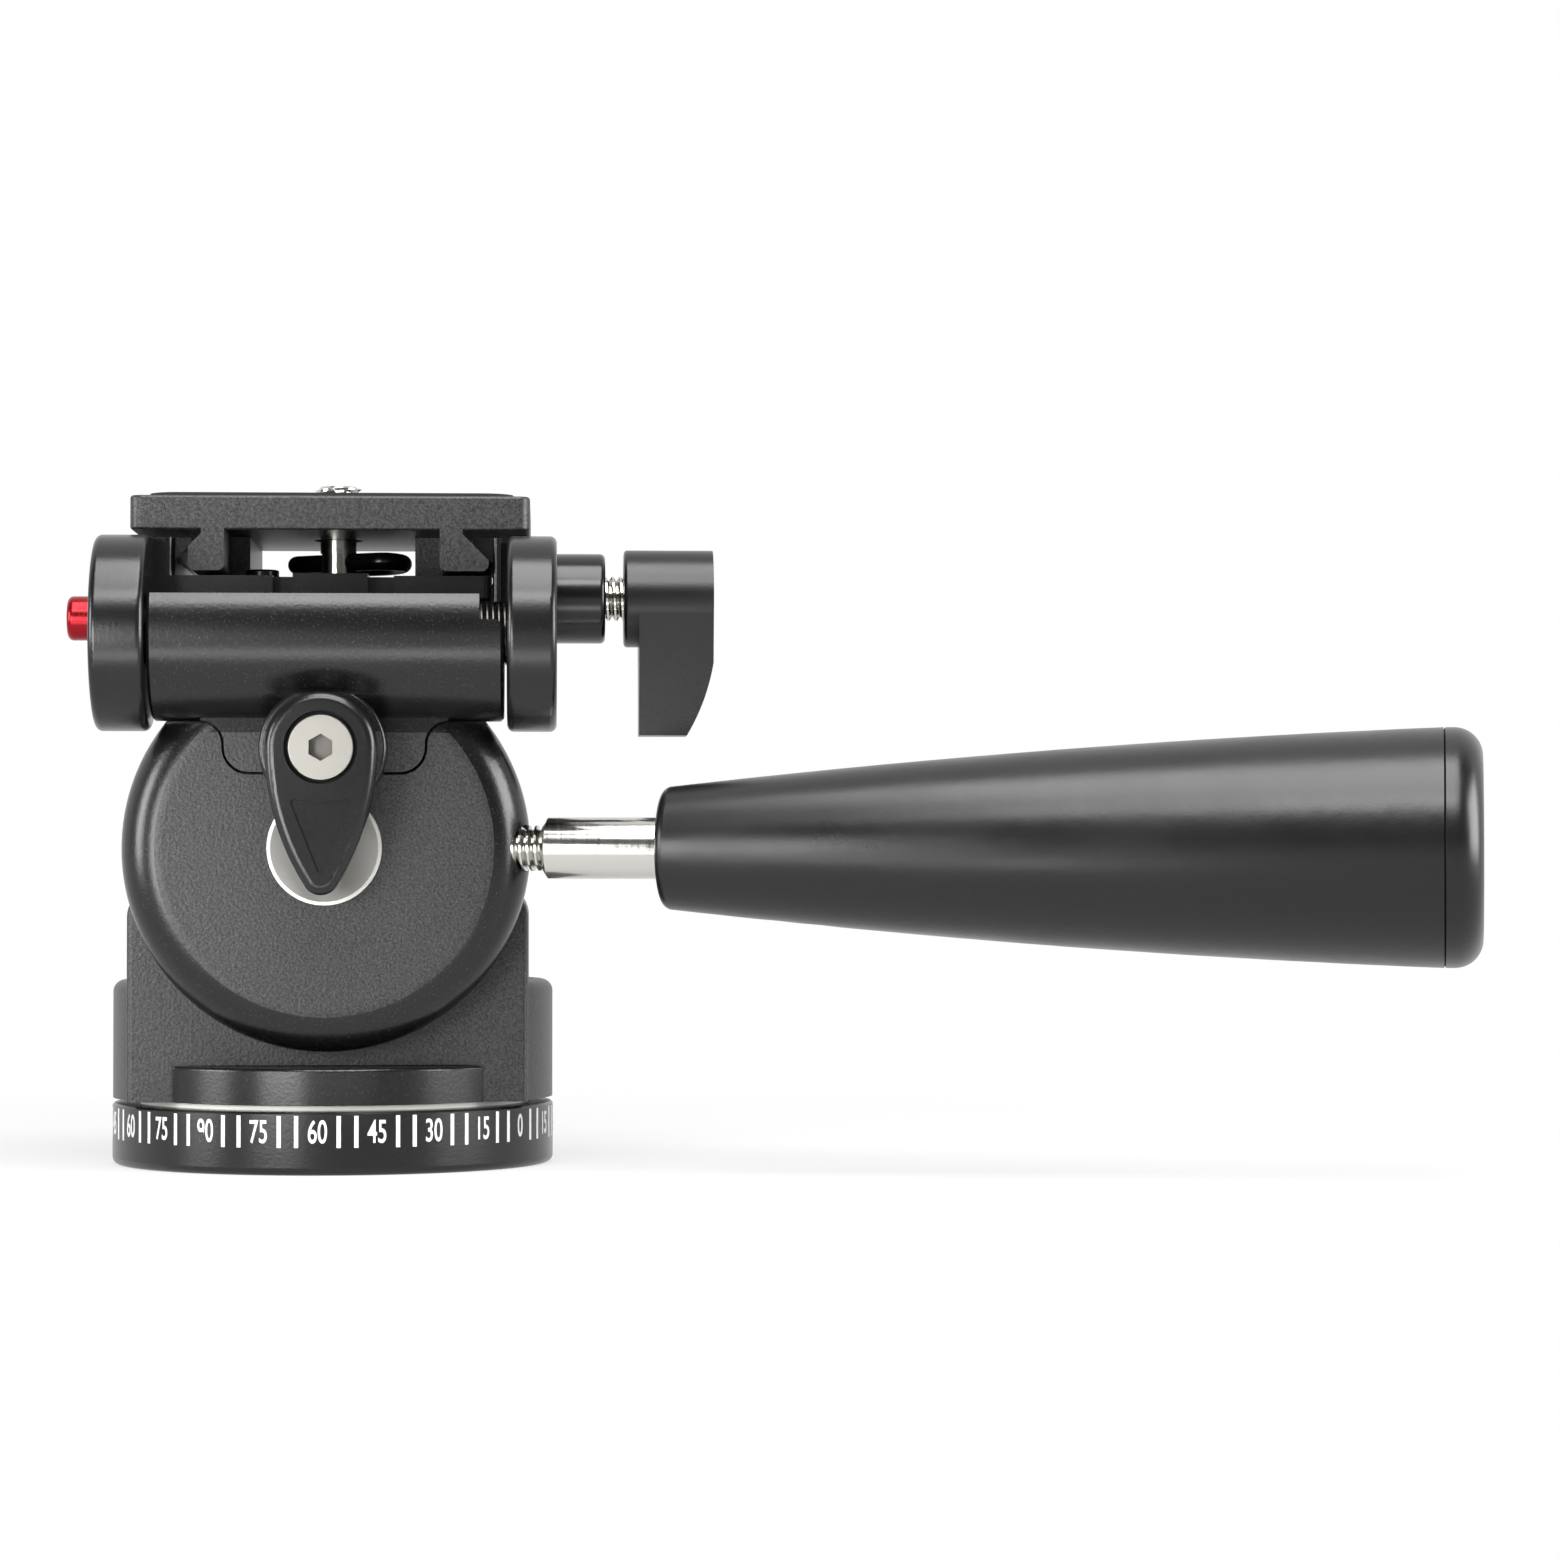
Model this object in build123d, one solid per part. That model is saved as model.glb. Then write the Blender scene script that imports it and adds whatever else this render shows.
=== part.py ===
"""Three-way pan head with a quick-release clamp, in millimetres.

X points to the handle, Y away from the front, Z up. The origin is the centre of the base's bottom
face, at the mouth of the tripod socket. A depth is measured from the centre towards the front, so a
piece's depth is minus its Y.
"""
import math
import os

from build123d import *

os.makedirs("parts", exist_ok=True)

# Clearances that all pieces share
running_play = 0.05
face_play = 0.1
thread_play = 0.02
overrun = 1.0
full_turn = 360
hexagon_sides = 6
right_angle = 90

# Base ring and tripod bushing
ring_radius = 29.5
ring_height = 8.2
ring_bottom_round = 1.0
ring_top_break = 0.3
socket_radius = 4.7625
socket_depth = 11.0
bushing_radius = 7.0
bushing_roof = 1.0
bushing_flange_radius = 10.5
bushing_flange_height = 1.8

# Pan spindle, its nut and screws
spindle_flange_radius = 19.0
spindle_flange_height = 2.4
spindle_radius = 7.5
spindle_bearing_height = 10.3
spindle_thread_radius = 6.0
thrust_washer_radius = 10.3
thrust_washer_height = 1.0
spindle_nut_radius = 9.8
spindle_nut_height = 5.0
chamber_play = 0.6
nut_slot_width = 2.4
nut_slot_depth = 1.6
nut_slot_count = 4
base_screw_count = 3
base_screw_circle = 14.5
base_screw_radius = 2.0
base_screw_head_radius = 3.5
base_screw_head_height = 3.4
base_screw_recess = 1.0
base_screw_grip = 1.8
base_screw_hex = 2.5
base_screw_hex_depth = 1.6

# Gap between ring and pan body, with its friction washer
pan_gap = 0.7
pan_washer_outer = 26.0
pan_washer_inner = 19.8

# Pan body
foot_step = 0.05
foot_height = 15.7
foot_round = 1.6
ledge_step = 2.5
ledge_height = 4.7
ledge_round = 0.4
block_half_width = 26.2
block_depth = 18.0
block_round = 0.7
shoulder_drop = 5.0
shoulder_round = 4.0
hump_radius = 18.0

# Tilt axle, its nut and covers
disc_clearance = 2.0
hub_clearance = 0.5
hub_radius = 11.0
axle_radius = 6.0
axle_thread_radius = 4.0
axle_head_radius = 7.2
axle_head_height = 1.7
axle_cover_gap = 0.3
web_thickness = 3.8
rear_pocket_radius = 10.2
rear_washer_room = 0.8
rear_washer_height = 1.2
rear_nut_radius = 7.4
rear_nut_height = 2.8
rear_nut_gap = 0.55
cover_lap = 1.4
cover_height = 1.2
cover_round = 0.4
cover_spigot = 0.5
friction_washer_play = 0.3
friction_washer_width = 4.7
friction_washer_height = 1.2

# Tilt disc and silver cap
disc_radius = 26.5
disc_gap = 0.4
disc_thickness = 9.0
disc_rim_round = 5.6
cap_lap = 0.2
cap_play = 0.03
cap_proud = 0.5
cap_rim_width = 0.45
cap_thickness = 1.9
cap_dish_depth = 0.9

# Barrel of the side tilt, neck and tongue
barrel_offset = 6.6
barrel_shell = 7.4
barrel_floor_wall = 8.1
barrel_left_inset = 4.3
barrel_right_inset = 3.4
barrel_flat_wall = 0.6
barrel_edge = 0.4
notch_length = 3.1
notch_rise = 1.3
notch_round = 1.3
neck_inset = 0.3
neck_gap = 0.5
hump_play = 0.3
slit_set_back = 2.4
slit_width = 0.6
slit_reach = 2.0
tongue_half_width = 12.9
tongue_drop = 2.9
tongue_straight = 0.4
tongue_proud = 0.4
tongue_corner = 3.2
tongue_fillet = 3.0
tongue_gap = 0.35
boss_radius = 8.2
boss_set_back = 0.12
boss_gap = 0.15
boss_round = 0.6

# Side-tilt lever and its screw
lever_wall = 2.3
lever_washer_inset = 0.5
lever_washer_height = 0.6
lever_thickness = 4.8
lever_head_radius = 7.1
lever_point_drop = 20.4
lever_tip_round = 2.3
lever_round = 1.2
lever_screw_radius = 3.0
lever_screw_head_radius = 4.2
lever_screw_head_height = 2.6
lever_screw_round = 0.2
lever_screw_sunk = 0.5
lever_bore_radius = 4.65
hex_socket = 3.0
hex_socket_depth = 1.9
recess_depth = 0.5
recess_top_drop = 6.3
recess_dip = 0.55
recess_half_width = 4.1
recess_tip_drop = 16.7
recess_corner = 0.5

# Handle: rod, grip and end cap
handle_yaw = 11.3
handle_rim_inset = 5.5
stud_radius = 3.0
stud_inner = 16.0
stud_end = 2.0
brake_radius = 2.0
brake_gap = 0.3
brake_back_gap = 0.6
rod_radius = 4.0
rod_chamfer = 0.5
grip_start = 17.5
grip_length = 100.0
grip_start_radius = 8.0
grip_middle_radius = 12.47
grip_end_radius = 15.2
grip_start_round = 1.4
grip_washer_station = 2.0
grip_pocket_radius = 8.5
rod_neck_start = 76.0
rod_neck_length = 12.0
grip_washer_radius = 7.6
grip_washer_height = 1.2
grip_nut_radius = 5.8
grip_nut_height = 5.0
end_cap_length = 4.9
end_cap_round = 3.6
end_cap_groove = 0.25
end_cap_spigot = 6.0
end_cap_wall = 1.6

# Side-tilt axle
side_axle_radius = 4.0
side_axle_head_radius = 6.5
side_axle_head_height = 4.0
side_axle_head_sunk = 0.6
side_axle_hex = 5.0
side_axle_hex_depth = 2.5

# Clamp base: ears, arms, floor and fixed jaw
ear_proud = 1.3
left_ear_gap = 0.3
left_ear_width = 7.0
right_ear_gap = 0.4
right_ear_width = 6.4
ear_round = 0.9
arm_low_rise = -1.0
jaw_stop_gap = 0.2
floor_gap = 0.9
floor_low_rise = -1.9
overhang_set_back = 5.5
overhang_gap = 0.4
base_lip = 0.2
base_corner = 1.2
channel_depth = 3.5
fixed_jaw_gap = 1.8
jaw_set_back = 0.5
jaw_proud = 0.2
jaw_corner = 1.2
centre_pad_left = -4.6
centre_pad_right = 5.2
centre_pad_rise = 0.3
centre_pad_length = 8.0
slot_width = 2.6
right_slot_width = 3.4
slot_length = 3.0
stop_ridge_width = 2.2
stop_ridge_rise = 1.5

# Quick-release plate, pad, camera screw and ring
plate_left_lap = 3.3
plate_right_lap = 2.9
plate_half_length = 20.0
plate_gap = 1.15
plate_stop_gap = 0.3
plate_foot_height = 5.35
plate_thickness = 4.5
plate_corner = 1.5
plate_edge = 0.4
foot_gap = 0.6
left_foot_inset = 4.3
left_foot_width = 4.7
left_foot_slant = 1.7
right_foot_inset = 2.5
right_foot_width = 6.4
right_foot_slant = 3.4
foot_groove = 0.5
foot_corner = 0.9
lip_play = 0.15
lip_reach = 1.4
left_lug_width = 2.5
right_lug_width = 3.6
lug_front = 5.8
pad_inset = 2.2
pad_height = 0.55
pad_corner = 4.0
pad_hole_radius = 5.0
screw_x = 0.5
camera_thread_radius = 3.175
camera_screw_top = 2.2
camera_neck_radius = 2.45
camera_hub_radius = 2.3
camera_hub_wall = 0.5
camera_hub_drop = 1.7
camera_tip_chamfer = 0.5
ring_wire_radius = 1.2
ring_hinge_drop = 3.0
ring_half_width = 7.8
ring_side_gap = 2.0
ring_leg_straight = 0.2
ring_bend_room = 0.1
ring_turn = -35
ring_hole_play = 0.1

# Moving jaw, clamp screw, boss and knob
moving_jaw_gap = 0.5
moving_jaw_front_width = 1.1
moving_jaw_width = 3.1
moving_jaw_back_gap = 0.2
jaw_foot_drop = 3.8
jaw_foot_half_length = 5.5
jaw_travel = 0.8
screw_depth = 7.0
screw_rise = 5.7
clamp_thread_radius = 3.0
screw_tip_radius = 2.0
screw_tip_inset = 0.8
screw_tip_length = 2.6
clip_radius = 3.2
clip_thickness = 0.6
boss_length = 6.5
screw_boss_radius = 6.0
screw_boss_round = 0.7
boss_stem_radius = 4.6
knob_gap = 2.5
knob_hub_length = 2.0
knob_hub_radius = 6.5
knob_length = 11.9
knob_reach = 18.4
knob_tip_half = 3.4
knob_tip_length = 6.4
knob_middle_reach = 11.9
knob_middle_length = 10.2
knob_round = 1.0
knob_bore_depth = 8.0

# Release button and safety catch
button_depth = 8.3
button_rise = 2.8
button_radius = 2.95
button_proud = 5.4
button_round = 0.8
button_travel = 2.0
button_stem_radius = 2.0
button_seat = 3.0
button_spring_gap = 0.15
catch_lug_gap = 1.8
catch_radius = 2.2
catch_round = 0.3
catch_proud = 1.4
catch_drop = 1.2
catch_length = 2.3
catch_foot_radius = 1.2
wedge_floor = 1.0

# Pan lock at the rear
lock_rise = 7.6
lock_screw_radius = 3.0
lock_shoe_length = 3.0
lock_gap = 0.3
lock_back_gap = 0.6
lock_knob_gap = 0.8
lock_knob_radius = 10.0
lock_knob_length = 12.0
lock_knob_round = 1.2
lock_knob_flutes = 8
lock_flute_radius = 2.2
lock_flute_share = 1.12
lock_hub_radius = 6.0
lock_hub_length = 2.0

# Places that follow from the sizes above
pan_bottom = ring_height + pan_gap
foot_radius = ring_radius - foot_step
ledge_radius = ring_radius - ledge_step
spindle_flange_top = ring_height + spindle_flange_height
spindle_shoulder = spindle_flange_top + spindle_bearing_height
chamber_floor = spindle_shoulder - face_play
chamber_radius = max(thrust_washer_radius, spindle_nut_radius) + chamber_play
nut_top = spindle_shoulder + thrust_washer_height + spindle_nut_height
disc_room = pan_bottom + ledge_height + disc_clearance + disc_radius
tilt_height = max(disc_room, nut_top + hub_clearance + hub_radius)
cap_radius = axle_head_radius + cap_lap
disc_back = block_depth + disc_gap
disc_front = disc_back + disc_thickness
lever_height = tilt_height + cap_radius + lever_screw_radius + lever_wall
barrel_height = lever_height + lever_screw_radius + barrel_floor_wall + side_axle_radius
barrel_depth = disc_back + barrel_offset
barrel_radius = side_axle_radius + barrel_shell
barrel_flat = barrel_height + side_axle_radius + barrel_flat_wall
web_back = (cover_spigot + rear_nut_gap + running_play + rear_nut_height + rear_washer_height
            - block_depth)
web_front = web_back + web_thickness
hub_back = web_front + face_play
rear_washer_radius = rear_pocket_radius - rear_washer_room
cover_radius = rear_pocket_radius + cover_lap
friction_washer_inner = hub_radius + friction_washer_play
friction_washer_outer = friction_washer_inner + friction_washer_width
lug_reach = ring_half_width + ring_wire_radius + ring_side_gap
clamp_left = lug_reach + left_lug_width + left_foot_width + left_foot_inset - left_ear_gap
clamp_right = lug_reach + right_lug_width + right_foot_width + right_foot_inset - right_ear_gap
barrel_left = -max(disc_radius - barrel_left_inset, clamp_left)
barrel_right = max(disc_radius - barrel_right_inset, clamp_right)
notch_left = barrel_right - notch_length
neck_back = barrel_depth - barrel_radius + neck_inset
slit_back = barrel_depth - slit_set_back
tongue_front = disc_front + tongue_proud
tongue_low = lever_height - tongue_drop
tongue_line = tongue_low + tongue_corner + tongue_fillet + tongue_straight
lever_reach = math.sqrt(barrel_radius ** 2 - (barrel_height - lever_height - lever_head_radius) ** 2)
boss_front = barrel_depth + lever_reach - boss_set_back
handle_rim_x = disc_radius
handle_rim_depth = disc_back + handle_rim_inset
grip_end = grip_start + grip_length
grip_bore_end = rod_neck_start + grip_washer_station
rod_end = rod_neck_start + rod_neck_length
ear_radius = barrel_radius + ear_proud
left_ear_inner = barrel_left - left_ear_gap
left_ear_outer = left_ear_inner - left_ear_width
right_ear_inner = barrel_right + right_ear_gap
right_ear_outer = right_ear_inner + right_ear_width
floor_front = barrel_depth - barrel_radius - floor_gap
overhang_front = barrel_depth - overhang_set_back
jaw_front = overhang_front - jaw_set_back
plate_left = left_ear_inner - plate_left_lap
plate_right = right_ear_inner + plate_right_lap
left_foot_outer = left_ear_inner + left_foot_inset
right_foot_outer = right_ear_inner - right_foot_inset
base_right = right_foot_outer + base_lip
lever_washer_radius = lever_head_radius - lever_washer_inset
lever_back = boss_front + lever_washer_height + running_play
lever_front = lever_back + lever_thickness
arm_low = barrel_height + arm_low_rise
arm_top = barrel_height + ear_radius
jaw_top = arm_top + jaw_proud
plate_low = arm_top + plate_gap
plate_top = plate_low + plate_thickness
foot_low = plate_low - plate_foot_height
floor_top = foot_low - foot_gap
overhang_low = barrel_flat + overhang_gap
stop_ridge_front = -plate_half_length - plate_stop_gap
clamp_back = stop_ridge_front - stop_ridge_width
moving_jaw_back = moving_jaw_back_gap - plate_half_length
catch_top = floor_top + catch_proud
button_spring_radius = button_radius - button_spring_gap
ring_corner = ring_wire_radius + ring_bend_room
ring_leg = ring_corner + ring_leg_straight
left_foot_inner = left_foot_outer + left_foot_width
left_foot_apex = left_foot_outer + left_foot_slant
right_foot_inner = right_foot_outer - right_foot_width
right_foot_apex = right_foot_outer - right_foot_slant
left_lug_inner = left_foot_inner + left_lug_width
right_lug_inner = right_foot_inner - right_lug_width
catch_x = left_lug_inner + catch_lug_gap
left_lip_tip = left_foot_apex - lip_reach
right_lip_tip = right_foot_apex + lip_reach
fixed_jaw_inner = left_foot_outer - fixed_jaw_gap
moving_jaw_inner = right_foot_outer + moving_jaw_gap
moving_jaw_front_outer = moving_jaw_inner + moving_jaw_front_width
moving_jaw_outer = moving_jaw_inner + moving_jaw_width
jaw_pocket_inner = moving_jaw_outer + jaw_travel + jaw_stop_gap
screw_tip_end = moving_jaw_inner + screw_tip_inset
pad_top = plate_top + pad_height
ring_hinge_height = plate_low - ring_hinge_drop
clamp_screw_height = barrel_height + screw_rise
channel_low = floor_top - channel_depth
screw_boss_end = right_ear_outer + boss_length
knob_start = screw_boss_end + knob_gap
knob_wing_start = knob_start + knob_hub_length
knob_end = knob_start + knob_length
button_height = barrel_height + button_rise
lock_height = pan_bottom + lock_rise
low_corner = (Align.CENTER, Align.CENTER, Align.MIN)
least_corner = (Align.MIN, Align.MIN, Align.MIN)


def bar_x(radius, left, right, depth, height):
    """A round bar along X."""
    plane = Plane(origin=(left, -depth, height), x_dir=(0, 1, 0), z_dir=(1, 0, 0))
    return plane * Cylinder(radius, right - left, align=low_corner)


def bar_y(radius, back, front, x, height):
    """A round bar along the depth, from its back to its front."""
    plane = Plane(origin=(x, -back, height), x_dir=(1, 0, 0), z_dir=(0, -1, 0))
    return plane * Cylinder(radius, front - back, align=low_corner)


def bar_z(radius, low, high, x=0, depth=0):
    """A round bar that stands up."""
    return Pos(x, -depth, low) * Cylinder(radius, high - low, align=low_corner)


def block(left, right, back, front, low, high):
    """A box between pairs of places."""
    return Pos(left, -front, low) * Box(right - left, front - back, high - low, align=least_corner)


def front_slab(face, back, front):
    """A face drawn in X and Z, thickened from one depth to another."""
    return extrude(Plane.XZ.offset(back) * face, amount=front - back)


def side_slab(face, left, right):
    """A face drawn in Y and Z, thickened from one X to another."""
    return extrude(Plane.YZ.offset(left) * face, amount=right - left)


def outline(points):
    """A closed face through points in a plane."""
    return make_face(Polyline(*points, close=True))


def round_corners(face, radius, chosen):
    """Rounds the corners of a flat face that a test picks."""
    return fillet([corner for corner in face.vertices() if chosen(corner)], radius)


def hexagon(across_flats):
    return RegularPolygon(across_flats / 2, hexagon_sides, major_radius=False)


def front_edge(solid):
    """The round edge of a solid that lies nearest the front."""
    return solid.edges().filter_by(GeomType.CIRCLE).sort_by(Axis.Y)[0]


def handle_place(solid):
    """Takes a solid drawn along +X from the disc's rim to the handle's own line."""
    return Pos(handle_rim_x, -handle_rim_depth, tilt_height) * Rot(0, 0, -handle_yaw) * solid


def handle_bar(radius, start, end):
    """A round bar on the handle's line, measured from the disc's rim."""
    return handle_place(bar_x(radius, start, end, 0, 0))


def handle_station(x):
    """How far along the handle's line a given X lies, from the rim."""
    return (x - handle_rim_x) / math.cos(math.radians(handle_yaw))


def make_base_ring():
    ring = bar_z(ring_radius, 0, ring_height)
    ring = fillet(ring.edges().filter_by(GeomType.CIRCLE).sort_by(Axis.Z)[0], ring_bottom_round)
    ring = chamfer(ring.edges().filter_by(GeomType.CIRCLE).sort_by(Axis.Z)[-1], ring_top_break)
    ring -= bar_z(bushing_radius + thread_play, -overrun, ring_height + overrun)
    ring -= bar_z(bushing_flange_radius + thread_play, -overrun, bushing_flange_height)
    for place in base_screw_places():
        ring -= place * bar_z(base_screw_radius + face_play, -overrun, ring_height + overrun)
        head_top = base_screw_recess + base_screw_head_height
        ring -= place * bar_z(base_screw_head_radius + face_play, -overrun, head_top)
    return ring


def base_screw_places():
    step = full_turn / base_screw_count
    return [Rot(0, 0, turn * step + right_angle) * Pos(base_screw_circle, 0, 0)
            for turn in range(base_screw_count)]


def make_tripod_bushing():
    bushing = bar_z(bushing_radius, 0, socket_depth + bushing_roof)
    bushing += bar_z(bushing_flange_radius, 0, bushing_flange_height - thread_play)
    return bushing - bar_z(socket_radius, -overrun, socket_depth)


def make_pan_spindle():
    spindle = bar_z(spindle_flange_radius, ring_height, spindle_flange_top)
    spindle += bar_z(spindle_radius, spindle_flange_top, spindle_shoulder)
    spindle += bar_z(spindle_thread_radius, spindle_shoulder, nut_top)
    bushing_top = socket_depth + bushing_roof + face_play
    spindle -= bar_z(bushing_radius + thread_play, ring_height - overrun, bushing_top)
    for place in base_screw_places():
        spindle -= place * bar_z(base_screw_radius + thread_play, ring_height - overrun,
                                 ring_height + base_screw_grip + face_play)
    return spindle


def make_base_screws():
    screws = []
    for place in base_screw_places():
        head_top = base_screw_recess + base_screw_head_height
        screw = bar_z(base_screw_head_radius, base_screw_recess, head_top)
        screw += bar_z(base_screw_radius, head_top, ring_height + base_screw_grip)
        socket_top = base_screw_recess + base_screw_hex_depth
        screw -= extrude(Pos(0, 0, socket_top) * hexagon(base_screw_hex), amount=-socket_top)
        screws.append(place * screw)
    return Compound(children=screws)


def make_pan_washer():
    top = pan_bottom - face_play
    washer = bar_z(pan_washer_outer, ring_height, top)
    return washer - bar_z(pan_washer_inner, ring_height - overrun, top + overrun)


def make_thrust_washer():
    top = spindle_shoulder + thrust_washer_height
    washer = bar_z(thrust_washer_radius, spindle_shoulder, top)
    return washer - bar_z(spindle_thread_radius + thread_play, spindle_shoulder - overrun, top + overrun)


def make_spindle_nut():
    low = spindle_shoulder + thrust_washer_height
    nut = bar_z(spindle_nut_radius, low, nut_top)
    nut -= bar_z(spindle_thread_radius + thread_play, low - overrun, nut_top + overrun)
    for turn in range(nut_slot_count):
        slot = block(spindle_nut_radius - nut_slot_depth, spindle_nut_radius + overrun,
                     -nut_slot_width / 2, nut_slot_width / 2, low - overrun, nut_top + overrun)
        nut -= Rot(0, 0, turn * full_turn / nut_slot_count) * slot
    return nut


def make_pan_body():
    shoulder = tilt_height - shoulder_drop
    foot_top = pan_bottom + foot_height
    foot = bar_z(foot_radius, pan_bottom, foot_top)
    foot = fillet(foot.edges().filter_by(GeomType.CIRCLE).sort_by(Axis.Z)[-1], foot_round)
    foot &= block(-ring_radius, ring_radius, -ring_radius, block_depth, pan_bottom, foot_top)
    column = outline([(-block_half_width, pan_bottom), (block_half_width, pan_bottom),
                      (block_half_width, shoulder), (-block_half_width, shoulder)])
    column = round_corners(column, shoulder_round, lambda corner: corner.Y > tilt_height - hump_radius)
    body = front_slab(column, -block_depth, block_depth)
    body = fillet(body.edges().filter_by(Axis.Z), block_round)
    body += block(-hump_radius, hump_radius, -block_depth, block_depth, pan_bottom, tilt_height)
    body += bar_y(hump_radius, -block_depth, block_depth, 0, tilt_height)
    body += foot
    ledge = bar_z(ledge_radius, pan_bottom, pan_bottom + ledge_height)
    body += fillet(ledge.edges().filter_by(GeomType.CIRCLE).sort_by(Axis.Z)[-1], ledge_round)
    return body - pan_body_hollows()


def pan_body_hollows():
    flange_top = spindle_flange_top + face_play
    hollow = bar_z(pan_washer_inner, pan_bottom - overrun, flange_top)
    hollow += bar_z(spindle_radius + running_play, pan_bottom, chamber_floor + overrun)
    hollow += bar_z(chamber_radius, chamber_floor, tilt_height)
    hollow += bar_y(hub_radius + running_play, web_front, block_depth + overrun, 0, tilt_height)
    washer_back = block_depth - friction_washer_height + face_play
    hollow += bar_y(friction_washer_outer + face_play, washer_back, block_depth + overrun, 0, tilt_height)
    hollow += bar_y(axle_thread_radius + thread_play, -block_depth - overrun, web_front, 0, tilt_height)
    hollow += bar_y(rear_pocket_radius, -block_depth - overrun, web_back, 0, tilt_height)
    hollow += bar_y(lock_screw_radius + running_play, -foot_radius - overrun, 0, 0, lock_height)
    return hollow


def make_pan_lock_shoe():
    back = -spindle_radius - lock_gap
    return bar_y(lock_screw_radius, back - lock_shoe_length, back, 0, lock_height)


def pan_lock_screw_front():
    return -spindle_radius - lock_gap - lock_shoe_length - lock_back_gap


def make_pan_lock_screw():
    end = foot_radius + lock_knob_gap + lock_knob_length / 2
    return bar_y(lock_screw_radius, -end, pan_lock_screw_front(), 0, lock_height)


def make_pan_lock_knob():
    front = -foot_radius - lock_knob_gap
    knob = bar_y(lock_knob_radius, front - lock_knob_length, front - lock_hub_length, 0, lock_height)
    knob = fillet(knob.edges().filter_by(GeomType.CIRCLE), lock_knob_round)
    knob += bar_y(lock_hub_radius, front - lock_hub_length - overrun, front, 0, lock_height)
    for turn in range(lock_knob_flutes):
        angle = math.radians(turn * full_turn / lock_knob_flutes)
        reach = lock_knob_radius * lock_flute_share
        knob -= bar_y(lock_flute_radius, front - lock_knob_length - overrun, front - lock_hub_length,
                      reach * math.cos(angle), lock_height + reach * math.sin(angle))
    return knob - bar_y(lock_screw_radius + thread_play, front - lock_knob_length / 2 - face_play,
                        front + overrun, 0, lock_height)


def make_tilt_axle():
    head_back = disc_front + cap_proud - cap_thickness - axle_cover_gap - axle_head_height
    axle = bar_y(axle_radius, web_front, head_back, 0, tilt_height)
    axle += bar_y(axle_head_radius, head_back, head_back + axle_head_height, 0, tilt_height)
    nut_back = web_back - rear_washer_height - rear_nut_height
    return axle + bar_y(axle_thread_radius, nut_back - running_play, web_front, 0, tilt_height)


def make_rear_washer():
    washer = bar_y(rear_washer_radius, web_back - rear_washer_height, web_back, 0, tilt_height)
    return washer - bar_y(axle_thread_radius + thread_play, -block_depth, hub_back, 0, tilt_height)


def make_rear_nut():
    front = web_back - rear_washer_height
    face = Pos(0, tilt_height) * RegularPolygon(rear_nut_radius, hexagon_sides)
    nut = front_slab(face, front - rear_nut_height, front)
    return nut - bar_y(axle_thread_radius + thread_play, -block_depth - overrun, hub_back, 0, tilt_height)


def make_rear_cover():
    cover = bar_y(cover_radius, -block_depth - cover_height, -block_depth, 0, tilt_height)
    cover = fillet(cover.edges().filter_by(GeomType.CIRCLE).sort_by(Axis.Y)[-1], cover_round)
    spigot_front = -block_depth + cover_spigot
    return cover + bar_y(rear_pocket_radius - cap_play, -block_depth, spigot_front, 0, tilt_height)


def make_tilt_friction_washer():
    back = block_depth - friction_washer_height + face_play
    front = disc_back - face_play
    washer = bar_y(friction_washer_outer, back, front, 0, tilt_height)
    return washer - bar_y(friction_washer_inner, back - overrun, front + overrun, 0, tilt_height)


def tongue_face(grow):
    """The tongue's outline with the strip above it, grown all round by a gap."""
    half = tongue_half_width + grow
    span = disc_radius + overrun
    line = tongue_line - grow
    low = tongue_low - grow
    top = barrel_height + barrel_radius
    face = outline([(-span, top), (-span, line), (-half, line), (-half, low),
                    (half, low), (half, line), (span, line), (span, top)])
    face = round_corners(face, tongue_corner + grow, lambda corner: corner.Y < line - tongue_fillet)
    return round_corners(face, tongue_fillet - grow,
                         lambda corner: corner.Y < top - overrun and abs(corner.X) < half + running_play
                         and corner.Y > line - running_play)


def make_tilt_housing():
    disc = bar_y(disc_radius, disc_back, disc_front, 0, tilt_height)
    disc = fillet(front_edge(disc), disc_rim_round)
    disc += bar_y(hub_radius, hub_back, disc_back, 0, tilt_height)
    pocket = front_slab(tongue_face(tongue_gap), slit_back, disc_front + overrun)
    housing = disc - pocket
    housing += barrel_and_neck()
    housing -= block(barrel_left - overrun, barrel_right + overrun, slit_back, slit_back + slit_width,
                     tongue_line - tongue_gap, barrel_height - side_axle_radius + slit_reach)
    housing += make_tongue()
    return housing - tilt_housing_hollows()


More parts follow.
